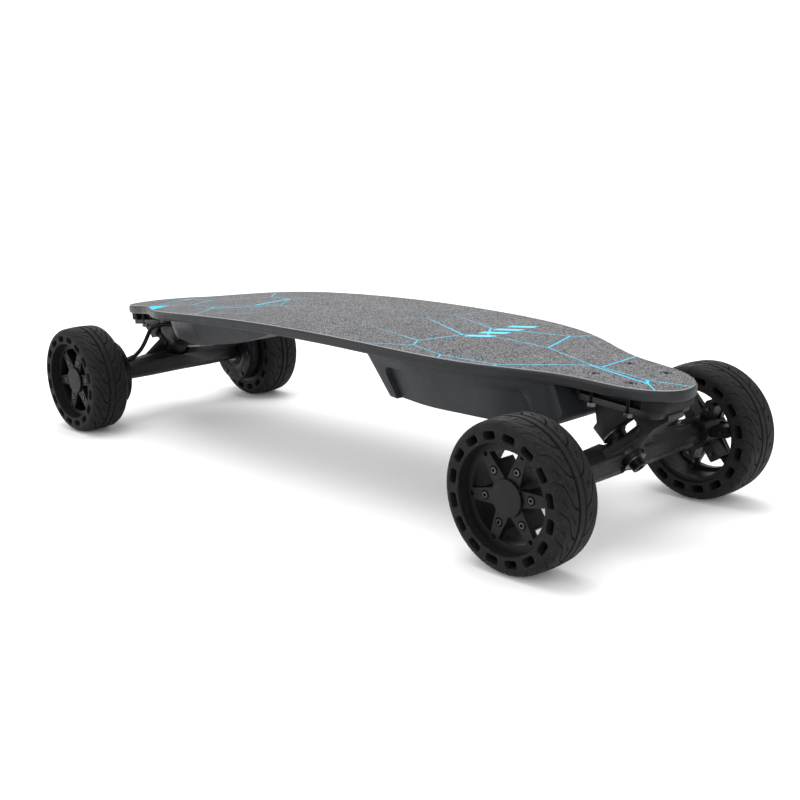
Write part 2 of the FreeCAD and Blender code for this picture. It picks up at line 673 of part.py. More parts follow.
def make_hub_screws(tip_u):
    """Six socket-head screws that pass through the spokes."""
    seat = RING_FACE_U - 2.6
    head = cylinder(SCREW_HEAD_R, 3.4, Vec(SCREW_CIRCLE_R, seat, 0), SIDEWAYS)
    head = head.makeFillet(0.5, [edge_at(head, Vec(SCREW_CIRCLE_R, seat + 3.4, 0))])
    shank = cylinder(1.7, seat - tip_u, Vec(SCREW_CIRCLE_R, tip_u, 0), SIDEWAYS)
    socket = hexagon(3.0, 3.0, Vec(SCREW_CIRCLE_R, seat + 1.2, 0), SIDEWAYS)
    return group(around(head.fuse(shank).cut(socket), SPOKE_COUNT, SIDEWAYS, SPOKE_PHASE))


def make_rear_hub():
    outer = TYRE_BORE_R - SEAT_GAP
    sleeve_r = CAN_R + SEAT_GAP
    back = RING_FACE_U - SPOKE_PLATE
    sleeve = revolve([(-TYRE_HALF_WIDTH + 1, sleeve_r), (-TYRE_HALF_WIDTH + 1, outer), (RING_FACE_U, outer),
                      (RING_FACE_U, sleeve_r), (back, sleeve_r)])
    hub = join([hub_face(CAN_OUTER_U + 0.1, CAN_OUTER_U + 0.1), sleeve])
    pocket = cylinder(11.0, 30, Vec(0, CAN_OUTER_U + 0.1, 0), SIDEWAYS)
    return hub_face_holes(hub).cut(pocket)


def make_motor_can():
    """The turning shell of the hub motor, closed at its outer end."""
    wall = CAN_R - CAN_WALL
    lid_back = CAN_OUTER_U - 3.5
    mouth = CAN_INNER_U + MOTOR_COVER_THICKNESS
    can = revolve([(mouth, wall), (mouth, CAN_R), (CAN_OUTER_U, CAN_R), (CAN_OUTER_U, MOTOR_AXLE_R + 3),
                   (lid_back, MOTOR_AXLE_R + 3), (lid_back - 1.5, 18), (lid_back - 1.5, wall)])
    seat = tube(MOTOR_BEARING_R + 3, MOTOR_BEARING_R, MOTOR_BEARING_WIDTH + 1.5,
                Vec(0, lid_back - MOTOR_BEARING_WIDTH - 1.5, 0), SIDEWAYS)
    thread = cylinder(1.75, 20, Vec(SCREW_CIRCLE_R, -6, 0), SIDEWAYS)
    can = join([can, seat]).cut(group(around(thread, SPOKE_COUNT, SIDEWAYS, SPOKE_PHASE)))
    return can.cut(cylinder(MOTOR_BEARING_R, 9.5, Vec(0, lid_back - 9.5, 0), SIDEWAYS))


def make_motor_cover():
    """The inboard end cover with its bearing boss and six screws."""
    start = Vec(0, CAN_INNER_U, 0)
    disc = cylinder(CAN_R, MOTOR_COVER_THICKNESS, start, SIDEWAYS)
    disc = disc.makeFillet(1.5, [edge_at(disc, start)])
    spigot = tube(CAN_R - CAN_WALL - 0.05, CAN_R - CAN_WALL - 3, 3.0,
                  start + Vec(0, MOTOR_COVER_THICKNESS, 0), SIDEWAYS)
    boss = tube(MOTOR_BEARING_R + 3, MOTOR_BEARING_R, MOTOR_BEARING_WIDTH + 1,
                start + Vec(0, MOTOR_COVER_THICKNESS - 1, 0), SIDEWAYS)
    groove = tube(24, 20.5, 1.0, start, SIDEWAYS)
    land = tube(CAN_R - CAN_WALL - 1, 34.5, 3.5, start + Vec(0, MOTOR_COVER_THICKNESS - 0.5, 0), SIDEWAYS)
    thread = cylinder(COVER_SCREW_R, 6, Vec(COVER_SCREW_CIRCLE_R, CAN_INNER_U - 1, 0), SIDEWAYS)
    cover = join([disc, spigot, boss, land]).cut(groove)
    cover = cover.cut(cylinder(MOTOR_AXLE_R + 1.0, 40, start, SIDEWAYS))
    return cover.cut(group(around(thread, SPOKE_COUNT)))


def make_cover_screws():
    """Six button-head screws in the motor's inboard cover."""
    base = Vec(COVER_SCREW_CIRCLE_R, CAN_INNER_U, 0)
    head = cylinder(2.9, 1.8, base, SIDEWAYS * -1)
    head = head.makeFillet(0.7, [edge_at(head, base - Vec(0, 1.8, 0))])
    shank = cylinder(COVER_SCREW_R - 0.05, 4.5, base, SIDEWAYS)
    socket = hexagon(2.0, 1.4, base - Vec(0, 2.0, 0), SIDEWAYS)
    return around(head.fuse(shank).cut(socket), SPOKE_COUNT)


def make_motor_magnets():
    wall = CAN_R - CAN_WALL - 0.05
    ring = tube(wall, wall - MAGNET_THICKNESS, 28, Vec(0, -33, 0), SIDEWAYS)
    gap = box((wall - 6, -34, -0.5), (wall + 1, -4, 0.5))
    return ring.cut(group(around(gap, 20)))


def make_motor_bearings():
    inner_r = MOTOR_AXLE_R + RUNNING_GAP
    first = CAN_INNER_U + MOTOR_COVER_THICKNESS + 0.1
    last = CAN_OUTER_U - 3.5 - MOTOR_BEARING_WIDTH - 0.2
    return group([bearing(inner_r, MOTOR_BEARING_R, MOTOR_BEARING_WIDTH, u) for u in (first, last)])


def make_stator():
    """The fixed iron core with its wound teeth, around the motor axle."""
    core = tube(17.0, MOTOR_AXLE_R, 20, Vec(0, -28, 0), SIDEWAYS)
    tooth = box((15, -28, -2.2), (STATOR_R - 3, -8, 2.2))
    shoe = box((STATOR_R - 4, -28, -4.6), (STATOR_R + 2, -8, 4.6))
    coil = box((20, -31, -3.8), (STATOR_R - 5, -5, 3.8))
    teeth = around(join([tooth, shoe, coil]), 18)
    limit = cylinder(STATOR_R, 60, Vec(0, -50, 0), SIDEWAYS)
    return join([core] + teeth).common(limit)


def make_rear_axles():
    stubs = []
    for _, side in sides():
        start = Vec(-HALF_WHEELBASE, side * (REAR_BARREL_END_Y - 40), WHEEL_R)
        end_u = CAN_OUTER_U - 3.0
        length = HALF_TRACK + end_u - REAR_BARREL_END_Y + 40
        stub = cylinder(MOTOR_AXLE_R, length, start, SIDEWAYS * side)
        tip = cylinder(AXLE_R, 9, start + SIDEWAYS * side * length, SIDEWAYS * side)
        mouth = Vec(-HALF_WHEELBASE, side * REAR_BARREL_END_Y, WHEEL_R)
        collar = cylinder(AXLE_COLLAR_R, AXLE_COLLAR, mouth, SIDEWAYS * side)
        stubs.append(join([stub, tip, collar]))
    return group(stubs)


def make_rear_axle_nuts():
    nuts = []
    for _, side in sides():
        base = Vec(-HALF_WHEELBASE, side * (HALF_TRACK + CAN_OUTER_U - 1.5), WHEEL_R)
        nut = hexagon(13.0, 6.0, base, SIDEWAYS * side)
        nuts.append(nut.cut(cylinder(AXLE_R, 10, base, SIDEWAYS * side)))
    return group(nuts)


# ---------------------------------------------------------------- enclosures
def under_deck(x):
    """Height of the deck's underside at x."""
    return deck_top(x) - DECK_BOTTOM


def rounded_loop(corners, place):
    """A closed wire of straight runs and tangent arcs; place turns (a, b) into a point."""
    count = len(corners)
    tangents = []
    for n, (a, b, radius) in enumerate(corners):
        here = Vec(a, b, 0)
        before = Vec(*corners[n - 1][:2], 0) - here
        after = Vec(*corners[(n + 1) % count][:2], 0) - here
        half_angle = before.getAngle(after) / 2
        reach = radius / math.tan(half_angle)
        start = here + before.normalize() * reach
        end = here + after.normalize() * reach
        bisector = (before + after).normalize()
        middle = here + bisector * (radius / math.sin(half_angle) - radius)
        tangents.append((start, middle, end, radius))
    edges = []
    for n, (start, middle, end, radius) in enumerate(tangents):
        if radius:
            points = [place(p.x, p.y) for p in (start, middle, end)]
            edges.append(Part.Arc(*points).toShape())
        following = tangents[(n + 1) % count][0]
        edges.append(Part.makeLine(place(end.x, end.y), place(following.x, following.y)))
    return Part.Wire(edges)


def both_sides(corners, inset):
    """The whole plan outline from its left half, with every wall moved in by inset."""
    centre_x = (corners[0][0] + corners[-1][0]) / 2
    left = []
    for x, y, radius in corners:
        along = inset if x < centre_x else -inset
        at_end = x in (corners[0][0], corners[-1][0])
        left.append((x + along * at_end, y - inset, radius))
    right = [(x, -y, radius) for x, y, radius in reversed(left)]
    return left + right


def sloped_block(top, low, inset):
    """A block whose plan outline changes evenly from low to top."""
    upper = rounded_loop(both_sides(top, inset), lambda x, y: Vec(x, y, TOP_Z))
    lower = rounded_loop(both_sides(low, inset), lambda x, y: Vec(x, y, LOW_Z))
    return Part.makeLoft([lower, upper], True, True)


def side_cut(corners, half_width):
    """The prism across the board over a side-view outline."""
    wire = rounded_loop(corners, lambda x, z: Vec(x, -half_width, z))
    return Part.Face(wire).extrude(Vec(0, 2 * half_width, 0))


def below_deck(solid, gap):
    """Keep what is at least gap below the deck."""
    return solid.cut(camber_slab(-40, 40 + DECK_BOTTOM + gap))


def grown(corners, amount):
    """A side-view outline grown by about amount, for the wall behind a recessed panel."""
    middle_x = sum(c[0] for c in corners) / len(corners)
    middle_z = sum(c[1] for c in corners) / len(corners)
    return [(x + math.copysign(amount, x - middle_x), z + math.copysign(amount, z - middle_z), radius)
            for x, z, radius in corners]


def panel_cut(top, low, panel, depth):
    """What is removed outside the recessed side panels."""
    return side_cut(panel, 150).cut(sloped_block(top, low, depth))


def make_tray(top, low, side, panel, screws):
    """An open-topped tray with recessed side panels and a pillar round each of its screws."""
    middle_x = (side[0][0] + side[-1][0]) / 2
    raised = [(x + math.copysign(WALL, middle_x - x), z + (WALL if z < TOP_Z else 0), radius)
              for x, z, radius in side]
    outside = sloped_block(top, low, 0).common(side_cut(side, 150))
    outside = outside.cut(panel_cut(top, low, panel, PANEL_DEPTH))
    inside = sloped_block(top, low, WALL).common(side_cut(raised, 150))
    inside = inside.cut(panel_cut(top, low, grown(panel, WALL), PANEL_DEPTH + WALL))
    for x, y in screws:
        for side_y in (-y, y):
            inside = inside.cut(cylinder(PILLAR_R, 100, Vec(x, side_y, 90), UP))
    tray_solid = below_deck(outside.cut(inside), SEAL_THICKNESS)
    for x, y in screws:
        for side_y in (-y, y):
            tray_solid = tray_solid.cut(cylinder(ENCLOSURE_SCREW_R + 0.3, 100, Vec(x, side_y, 90), UP))
            seat = Vec(x, side_y, 90)
            tray_solid = tray_solid.cut(cylinder(SCREW_RECESS_R, floor_z(x) + 1.6 - 90, seat, UP))
    return tray_solid


def floor_z(x):
    """Height of the outside of the enclosure floor at a screw."""
    side = BATTERY_SIDE if x > 0 else ESC_SIDE
    line = side[1:3] if x > 0 or x < ESC_SIDE[2][0] else (side[2:4] if x < ESC_SIDE[3][0] else side[3:5])
    (x1, z1, _), (x2, z2, _) = line
    return z1 + (x - x1) * (z2 - z1) / (x2 - x1)


def make_seal(top, low, side):
    """The foam gasket pressed between a tray's rim and the deck."""
    outside = sloped_block(top, low, 0.4).common(side_cut(side, 150))
    ring = outside.cut(sloped_block(top, low, WALL + 2.5))
    return below_deck(ring, 0).common(camber_slab(DECK_BOTTOM, SEAL_THICKNESS))


def make_enclosure_screws(spots):
    screws = []
    for x, y in spots:
        for side_y in (-y, y):
            base = Vec(x, side_y, floor_z(x) + 1.6)
            head = cylinder(SCREW_HEAD_R, 1.6, base - Vec(0, 0, 1.6), UP)
            shank = cylinder(ENCLOSURE_SCREW_R, under_deck(x) + 6 - base.z, base, UP)
            socket = hexagon(2.5, 1.4, base - Vec(0, 0, 1.8), UP)
            screws.append(head.fuse(shank).cut(socket))
    return screws


def screw_pilot_holes():
    """Blind holes in the deck's underside for the enclosure screws."""
    return group([cylinder(ENCLOSURE_SCREW_R, 6.5, Vec(x, side_y, under_deck(x) - 0.4), UP)
                  for x, y in BATTERY_SCREWS + ESC_SCREWS for side_y in (-y, y)])


# the outward normal of the battery tray's rear wall, and a point on that wall
REAR_SLOPE = math.atan2(BATTERY_LOW[0][0] - BATTERY_TOP[0][0], TOP_Z - LOW_Z)
REAR_OUT = Vec(-math.cos(REAR_SLOPE), 0, -math.sin(REAR_SLOPE))


def rear_wall_point(y):
    share = (TOP_Z - PANEL_POINT_Z) / (TOP_Z - LOW_Z)
    x = BATTERY_TOP[0][0] + share * (BATTERY_LOW[0][0] - BATTERY_TOP[0][0])
    return Vec(x, y, PANEL_POINT_Z)


def rear_wall_holes():
    button = rear_wall_point(BUTTON_Y) - REAR_OUT * 8
    port = rear_wall_point(PORT_Y) - REAR_OUT * 8
    return group([cylinder(BUTTON_R + 0.3, 16, button, REAR_OUT), cylinder(PORT_R, 16, port, REAR_OUT)])


def make_power_button():
    base = rear_wall_point(BUTTON_Y) - REAR_OUT * (WALL + 2.2)
    top = base + REAR_OUT * (WALL + 4.0)
    body = cylinder(BUTTON_R, WALL + 4.0, base, REAR_OUT)
    body = body.makeFillet(0.8, [edge_at(body, top)])
    return body.cut(cylinder(BUTTON_R - 2.5, 0.4, top - REAR_OUT * 0.4, REAR_OUT))


def make_power_switch():
    """The switch body behind the button, with room for the button's travel."""
    front = rear_wall_point(BUTTON_Y) - REAR_OUT * (WALL + 2.2 + BUTTON_TRAVEL + 0.4)
    return cylinder(BUTTON_R + 2.0, 9.0, front, REAR_OUT * -1)


def make_charge_port():
    """A round socket: flange outside the wall and a blind bore open to the outside."""
    wall_point = rear_wall_point(PORT_Y)
    mouth = wall_point + REAR_OUT * 1.6
    flange = cylinder(PORT_R + 3.0, 1.6, wall_point, REAR_OUT)
    flange = flange.makeFillet(0.6, [edge_at(flange, mouth)])
    body = cylinder(PORT_R - 0.05, PORT_DEPTH + 3, wall_point - REAR_OUT * (PORT_DEPTH + 1.4), REAR_OUT)
    bore = cylinder(PORT_BORE_R, PORT_DEPTH + 1, mouth - REAR_OUT * PORT_DEPTH, REAR_OUT)
    return flange.fuse(body).cut(bore)


def make_battery_pack():
    """Two layers of round cells, side by side in a heat-shrunk pack."""
    cell_r = 9.2
    columns, rows = 7, 6
    cells = []
    for column in range(columns):
        for row in range(rows):
            base = Vec(188 + column * 2 * cell_r, (row - (rows - 1) / 2) * 2 * cell_r, 114.5)
            cells.append(cylinder(cell_r - 0.1, 32, base, UP))
    holder = box((179, -55.5, 126), (308, 55.5, 132))
    return join([holder] + cells)


def make_battery_board():
    """The battery management circuit board on top of the cells' side."""
    board = box((170, -46, 118), (173, 46, 142))
    chips = [box((167.4, y, 124), (170.2, y + 9, 136)) for y in (-40, -22, -4, 14, 32)]
    return join([board] + chips)


def make_esc_board():
    """Two motor controllers on one board, with their capacitors and heat sink."""
    board = box((-284, -44, 138), (-190, 44, 140))
    sink = box((-280, -40, 129), (-236, 40, 138.2))
    caps = [cylinder(5.5, 14, Vec(-222, y, 134.0), Vec(1, 0, 0)) for y in (-36, -14, 8, 30)]
    feet = [box((-222, y - 2, 132), (-210, y + 2, 138.2)) for y in (-36, -14, 8, 30)]
    return join([board, sink] + caps + feet)


# ---------------------------------------------------------------- motor leads
GROMMET_FOOT = Vec(-HALF_WHEELBASE, 72, 84)
GROMMET_LENGTH = 9.0
LEAD_SLOPE = Vec(0, -0.86, 0.51)
LEAD_END = 6.05
LEAD_STRAIGHT = 16.0
CABLE_ROUTE = [(-312, 26, 131), (-336, 32, 132.5), (-356, 41, 131.5), (-373, 45, 126), (-385, 45, 112),
               (-388, 50, 101), tuple(GROMMET_FOOT + LEAD_SLOPE * LEAD_STRAIGHT),
               tuple(GROMMET_FOOT + LEAD_SLOPE * LEAD_END)]


def rounded_path(points):
    """Straight runs joined by tangent arcs as large as the runs allow; prints the arc radii."""
    corners = [Vec(*p) for p in points]
    edges = []
    last = corners[0]
    radii = []
    for before, here, after in zip(corners, corners[1:], corners[2:]):
        back = (before - here)
        ahead = (after - here)
        half_turn = (math.pi - back.getAngle(ahead)) / 2
        reach = 0.45 * min(back.Length, ahead.Length)
        radius = reach / math.tan(half_turn)
        radii.append(round(radius, 1))
        start = here + back.normalize() * reach
        end = here + ahead.normalize() * reach
        bisector = (back + ahead).normalize()
        middle = here + bisector * (radius / math.cos(half_turn) - radius)
        edges.append(Part.makeLine(last, start))
        edges.append(Part.Arc(start, middle, end).toShape())
        last = end
    edges.append(Part.makeLine(last, corners[-1]))
    print("motor lead arc radii", radii)
    return Part.Wire(edges)


def make_cable(side):
    """One motor lead, held by the controller tray at one end and by its grommet at the other."""
    route = [(x, y * side, z) for x, y, z in CABLE_ROUTE]
    path = rounded_path(route)
    start = path.Edges[0]
    direction = start.tangentAt(start.FirstParameter)
    section = Part.Wire(Part.makeCircle(CABLE_R, Vec(*route[0]), direction))
    solid = path.makePipeShell([section], True, False)
    expected = math.pi * CABLE_R ** 2 * path.Length
    print("motor lead length", round(path.Length, 1), "volume ratio", round(solid.Volume / expected, 4))
    return solid


def make_grommets():
    """Rubber grommets where the motor leads enter the rear hanger's arms."""
    foot = GROMMET_FOOT - LEAD_SLOPE * (GROMMET_LENGTH - 6)
    cone = Part.makeCone(6.0, CABLE_R + 0.8, GROMMET_LENGTH, foot, LEAD_SLOPE)
    arm = mirrored(hanger_arm(REAR_BARREL_END_Y, 90.0, 48.0), Vec(1, 0, 0))
    left = cone.cut(arm)
    return group([left, mirrored(left, SIDEWAYS)])


# ---------------------------------------------------------------- the whole board
def at_both_ends(shape):
    """A truck piece at the nose and its mirror image at the tail."""
    return (("front", shape), ("rear", mirrored(shape, Vec(1, 0, 0))))


def wheel_pieces():
    """The pieces of a front wheel and of a rear wheel, modelled with +Y outwards."""
    tyre = make_tyre(TYRE_BORE_R)
    cap = make_cap(BEARING_R)
    front = {"tyre": tyre, "hub": make_front_hub(), "cap": cap, "bearings": make_front_bearings(),
             "screws": make_hub_screws(RIB_DEPTH_U - 1.5)}
    rear_screws = group(make_hub_screws(0.5).Solids + make_cover_screws())
    rear = {"tyre": tyre, "hub": make_rear_hub(), "cap": cap, "bearings": make_motor_bearings(),
            "screws": rear_screws, "motor_can": make_motor_can(), "motor_cover": make_motor_cover(),
            "magnets": make_motor_magnets()}
    return (("front", 1, front), ("rear", -1, rear))


def make_nodes():
    """Every node's name and shape."""
    nodes = {"deck": make_deck().cut(screw_pilot_holes()), "grip_tape": make_grip_tape(),
             "deck_bolts": make_deck_bolts(), "deck_nuts": make_deck_nuts()}
    for end, shape in at_both_ends(make_riser()):
        nodes["riser_pad_" + end] = shape
    for end, shape in at_both_ends(make_baseplate()):
        nodes["baseplate_" + end] = shape
    for end, shape in at_both_ends(make_kingpin()):
        nodes["kingpin_" + end] = shape
    for end, shape in at_both_ends(make_bushings()):
        nodes["bushings_" + end] = shape
    nodes["pivot_cups"] = group([shape for _, shape in at_both_ends(make_pivot_cup())])
    nodes["cup_washers"] = group([shape for _, shape in at_both_ends(make_washers())])

    front_hanger = make_hanger(FRONT_BARREL_END_Y, 88.0, 40.0, AXLE_R)
    rear_hanger = make_hanger(REAR_BARREL_END_Y, 90.0, 48.0, MOTOR_AXLE_R)
    nodes["hanger_front"] = front_hanger
    nodes["hanger_rear"] = mirrored(rear_hanger, Vec(1, 0, 0))
    nodes["axles_front"] = make_front_axles()
    nodes["axles_rear"] = make_rear_axles()
    nodes["axle_nuts_front"] = make_front_axle_nuts()
    nodes["axle_nuts_rear"] = make_rear_axle_nuts()
    nodes["stators"] = group([at_wheel(make_stator(), -1, side) for _, side in sides()])
    nodes["cable_grommets"] = make_grommets()

    for end, sign, pieces in wheel_pieces():
        for side_name, side in sides():
            for piece, shape in pieces.items():
                nodes["wheel_%s_%s_%s" % (end, side_name, piece)] = at_wheel(shape, sign, side)

    battery = make_tray(BATTERY_TOP, BATTERY_LOW, BATTERY_SIDE, BATTERY_PANEL, BATTERY_SCREWS)
    nodes["battery_enclosure"] = battery.cut(rear_wall_holes())
    nodes["controller_enclosure"] = make_tray(ESC_TOP, ESC_LOW, ESC_SIDE, ESC_PANEL, ESC_SCREWS).cut(
        cable_holes())
    nodes["enclosure_seals"] = group([make_seal(BATTERY_TOP, BATTERY_LOW, BATTERY_SIDE),
                                      make_seal(ESC_TOP, ESC_LOW, ESC_SIDE)])
    nodes["enclosure_screws"] = group(make_enclosure_screws(BATTERY_SCREWS + ESC_SCREWS))
    nodes["battery_pack"] = make_battery_pack()
    nodes["battery_board"] = make_battery_board()
    nodes["controller_board"] = make_esc_board()
    nodes["power_button"] = make_power_button()
    nodes["power_switch"] = make_power_switch()
    nodes["charge_port"] = make_charge_port()
    for side_name, side in sides():
        nodes["motor_cable_" + side_name] = make_cable(side)
    return nodes


def cable_holes():
    """Round exits for the motor leads in the controller tray's rear wall."""
    holes = []
    for _, side in sides():
        start = Vec(*CABLE_ROUTE[0])
        end = Vec(*CABLE_ROUTE[1])
        start.y *= side
        end.y *= side
        holes.append(cylinder(CABLE_R + 0.3, (end - start).Length, start, end - start))
    return group(holes)


os.makedirs("parts", exist_ok=True)
for name, shape in make_nodes().items():
    faults = [solid for solid in shape.Solids if not solid.isValid()]
    print(name, len(shape.Solids), "solids", round(shape.Volume / 1000, 2), "cm3",
          "INVALID" if faults or not shape.Solids else "")
    shape.exportStep("parts/%s.step" % name)
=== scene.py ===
"""The electric skateboard's looks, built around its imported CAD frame. Lengths are in metres."""
import bmesh
import bpy
import json
import math
import numpy as np
from mathutils import Matrix, Vector

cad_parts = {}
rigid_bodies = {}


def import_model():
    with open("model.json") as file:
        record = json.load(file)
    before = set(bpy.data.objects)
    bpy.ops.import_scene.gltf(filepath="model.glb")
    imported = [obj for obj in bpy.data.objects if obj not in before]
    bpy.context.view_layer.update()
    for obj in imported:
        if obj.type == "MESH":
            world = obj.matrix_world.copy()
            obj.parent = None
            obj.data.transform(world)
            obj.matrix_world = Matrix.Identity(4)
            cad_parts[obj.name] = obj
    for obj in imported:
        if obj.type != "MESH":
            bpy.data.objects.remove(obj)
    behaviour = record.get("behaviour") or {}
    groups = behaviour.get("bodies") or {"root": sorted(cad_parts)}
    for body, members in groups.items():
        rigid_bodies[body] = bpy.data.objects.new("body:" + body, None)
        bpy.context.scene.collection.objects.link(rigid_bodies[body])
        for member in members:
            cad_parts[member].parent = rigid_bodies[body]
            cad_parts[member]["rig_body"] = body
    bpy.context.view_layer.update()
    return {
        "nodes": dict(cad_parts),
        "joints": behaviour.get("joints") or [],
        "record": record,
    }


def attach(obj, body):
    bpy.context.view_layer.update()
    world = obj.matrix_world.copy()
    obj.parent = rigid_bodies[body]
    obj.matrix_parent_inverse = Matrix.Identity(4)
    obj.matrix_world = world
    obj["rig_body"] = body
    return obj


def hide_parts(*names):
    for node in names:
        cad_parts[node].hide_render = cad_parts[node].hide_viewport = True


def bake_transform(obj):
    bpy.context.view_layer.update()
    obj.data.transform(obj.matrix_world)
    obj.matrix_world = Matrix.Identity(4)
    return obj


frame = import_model()
NODES = frame["nodes"]
JOINTS = {joint["name"]: joint for joint in frame["joints"]}
SIDES = (("left", 1), ("right", -1))
ENDS = (("front", 1), ("rear", -1))


# ---------------------------------------------------------------- material helpers
class Shader:
    """A short way to write one procedural material's node tree."""

    def __init__(self, name, roughness=0.5, metallic=0.0, **fixed):
        self.material = bpy.data.materials.new(name)
        self.material.use_nodes = True
        self.tree = self.material.node_tree
        self.tree.nodes.clear()
        self.output = self.tree.nodes.new("ShaderNodeOutputMaterial")
        self.bsdf = self.tree.nodes.new("ShaderNodeBsdfPrincipled")
        self.tree.links.new(self.bsdf.outputs["BSDF"], self.output.inputs["Surface"])
        self.bsdf.inputs["Roughness"].default_value = roughness
        self.bsdf.inputs["Metallic"].default_value = metallic
        for key, value in fixed.items():
            self.bsdf.inputs[key.replace("_", " ")].default_value = value
        self.place = self.node("ShaderNodeTexCoord").outputs["Object"]

    def node(self, kind, **settings):
        made = self.tree.nodes.new(kind)
        for key, value in settings.items():
            setattr(made, key, value)
        return made

    def link(self, source, target):
        self.tree.links.new(source, target)

    def feed(self, target, value):
        """Put a number, a vector or another node's output into a socket."""
        if hasattr(value, "is_output"):
            self.link(value, target)
        else:
            target.default_value = value

    def noise(self, scale, detail=3.0, roughness=0.6, stretch=None):
        texture = self.node("ShaderNodeTexNoise")
        texture.inputs["Scale"].default_value = scale
        texture.inputs["Detail"].default_value = detail
        texture.inputs["Roughness"].default_value = roughness
        self.link(self.stretched(stretch), texture.inputs["Vector"])
        return texture.outputs["Fac"]

    def stretched(self, stretch):
        if stretch is None:
            return self.place
        mapping = self.node("ShaderNodeMapping")
        mapping.inputs["Scale"].default_value = stretch
        self.link(self.place, mapping.inputs["Vector"])
        return mapping.outputs["Vector"]

    def cells(self, scale, feature="F1", stretch=None, randomness=1.0, output="Distance"):
        texture = self.node("ShaderNodeTexVoronoi", feature=feature)
        texture.inputs["Scale"].default_value = scale
        texture.inputs["Randomness"].default_value = randomness
        self.link(self.stretched(stretch), texture.inputs["Vector"])
        return texture.outputs[output]

    def ramp(self, value, low, high, out_low=0.0, out_high=1.0):
        """Map a value's stretch from low to high onto out_low to out_high, with ends held."""
        mapped = self.node("ShaderNodeMapRange")
        self.link(value, mapped.inputs["Value"])
        for key, number in (("From Min", low), ("From Max", high), ("To Min", out_low), ("To Max", out_high)):
            mapped.inputs[key].default_value = number
        return mapped.outputs["Result"]

    def maths(self, operation, first, second=0.0):
        made = self.node("ShaderNodeMath", operation=operation)
        self.feed(made.inputs[0], first)
        self.feed(made.inputs[1], second)
        return made.outputs["Value"]

    def mix(self, factor, first, second):
        made = self.node("ShaderNodeMix", data_type="RGBA")
        self.feed(made.inputs["Factor"], factor)
        self.feed(made.inputs["A"], first)
        self.feed(made.inputs["B"], second)
        return made.outputs["Result"]

    def axis(self, letter):
        split = self.node("ShaderNodeSeparateXYZ")
        self.link(self.place, split.inputs["Vector"])
        return split.outputs[letter]

    def colour(self, value):
        self.feed(self.bsdf.inputs["Base Color"], value)

    def rough(self, value):
        self.feed(self.bsdf.inputs["Roughness"], value)

    def bump(self, height, distance, strength=1.0, rounding=0.0):
        """Surface relief from a height, over edges softened by a rounding radius."""
        made = self.node("ShaderNodeBump")
        made.inputs["Distance"].default_value = distance
        made.inputs["Strength"].default_value = strength
        self.link(height, made.inputs["Height"])
        if rounding:
            soft = self.node("ShaderNodeBevel", samples=6)
            soft.inputs["Radius"].default_value = rounding
            self.link(soft.outputs["Normal"], made.inputs["Normal"])
        self.link(made.outputs["Normal"], self.bsdf.inputs["Normal"])

    def edge_wear(self, low, high):
        """1 on sharp outer edges, 0 on flats, from how pointed the surface is."""
        geometry = self.node("ShaderNodeNewGeometry")
        return self.ramp(geometry.outputs["Pointiness"], low, high)


def rgb(red, green, blue):
    return (red, green, blue, 1.0)


def moulded_plastic(name, dark, light, roughness, shine=0.4, rounding=0.0, grain=2600.0):
    """Satin moulded plastic: fine spark-eroded grain and faint mottling."""
    made = Shader(name, roughness, Specular_IOR_Level=shine)
    mottle = made.ramp(made.noise(38.0, 4.0), 0.3, 0.7)
    made.colour(made.mix(mottle, dark, light))
    made.rough(made.ramp(made.noise(160.0, 3.0), 0.3, 0.7, roughness - 0.06, roughness + 0.08))
    made.bump(made.noise(grain, 2.0), 0.00004, 0.6, rounding)
    return made.material


def powder_coat():
    """Black powder coat with a fine orange-peel surface, thinned to grey on sharp edges."""
    made = Shader("truck_powder_coat", 0.5, 0.0, Specular_IOR_Level=0.2)
    mottle = made.ramp(made.noise(60.0, 4.0), 0.35, 0.7)
    body = made.mix(mottle, rgb(0.0045, 0.0047, 0.0051), rgb(0.0085, 0.0088, 0.0094))
    made.colour(made.mix(made.edge_wear(0.54, 0.62), body, rgb(0.045, 0.045, 0.046)))
    made.rough(made.ramp(made.noise(220.0, 3.0), 0.3, 0.7, 0.36, 0.54))
    made.bump(made.noise(1500.0, 3.0), 0.00008, 0.7)
    return made.material


def rubber(name, dark, light, roughness, dust=0.0):
    """Moulded rubber: fine grain, uneven matte bloom and a little pale dust."""
    made = Shader(name, roughness, Specular_IOR_Level=0.11)
    bloom = made.ramp(made.noise(45.0, 5.0, 0.65), 0.3, 0.72)
    colour = made.mix(bloom, dark, light)
    if dust:
        specks = made.ramp(made.noise(420.0, 2.0), 0.56, 0.78, 0.0, dust)
        colour = made.mix(specks, colour, rgb(0.09, 0.085, 0.078))
    made.colour(colour)
    made.rough(made.ramp(made.noise(120.0, 3.0), 0.3, 0.7, roughness - 0.07, roughness + 0.07))
    made.bump(made.noise(1900.0, 3.0), 0.00006, 0.6)
    return made.material


def metal(name, dark, light, roughness, scratch_stretch=(1.0, 1.0, 14.0)):
    """Machined or plated metal with fine directional scratches and small stains."""
    made = Shader(name, roughness, 1.0)
    stains = made.ramp(made.noise(150.0, 4.0), 0.35, 0.75)
    made.colour(made.mix(stains, light, dark))
    lines = made.noise(900.0, 2.0, 0.5, scratch_stretch)
    made.rough(made.ramp(lines, 0.3, 0.7, roughness - 0.08, roughness + 0.12))
    made.bump(lines, 0.00002, 0.5)
    return made.material


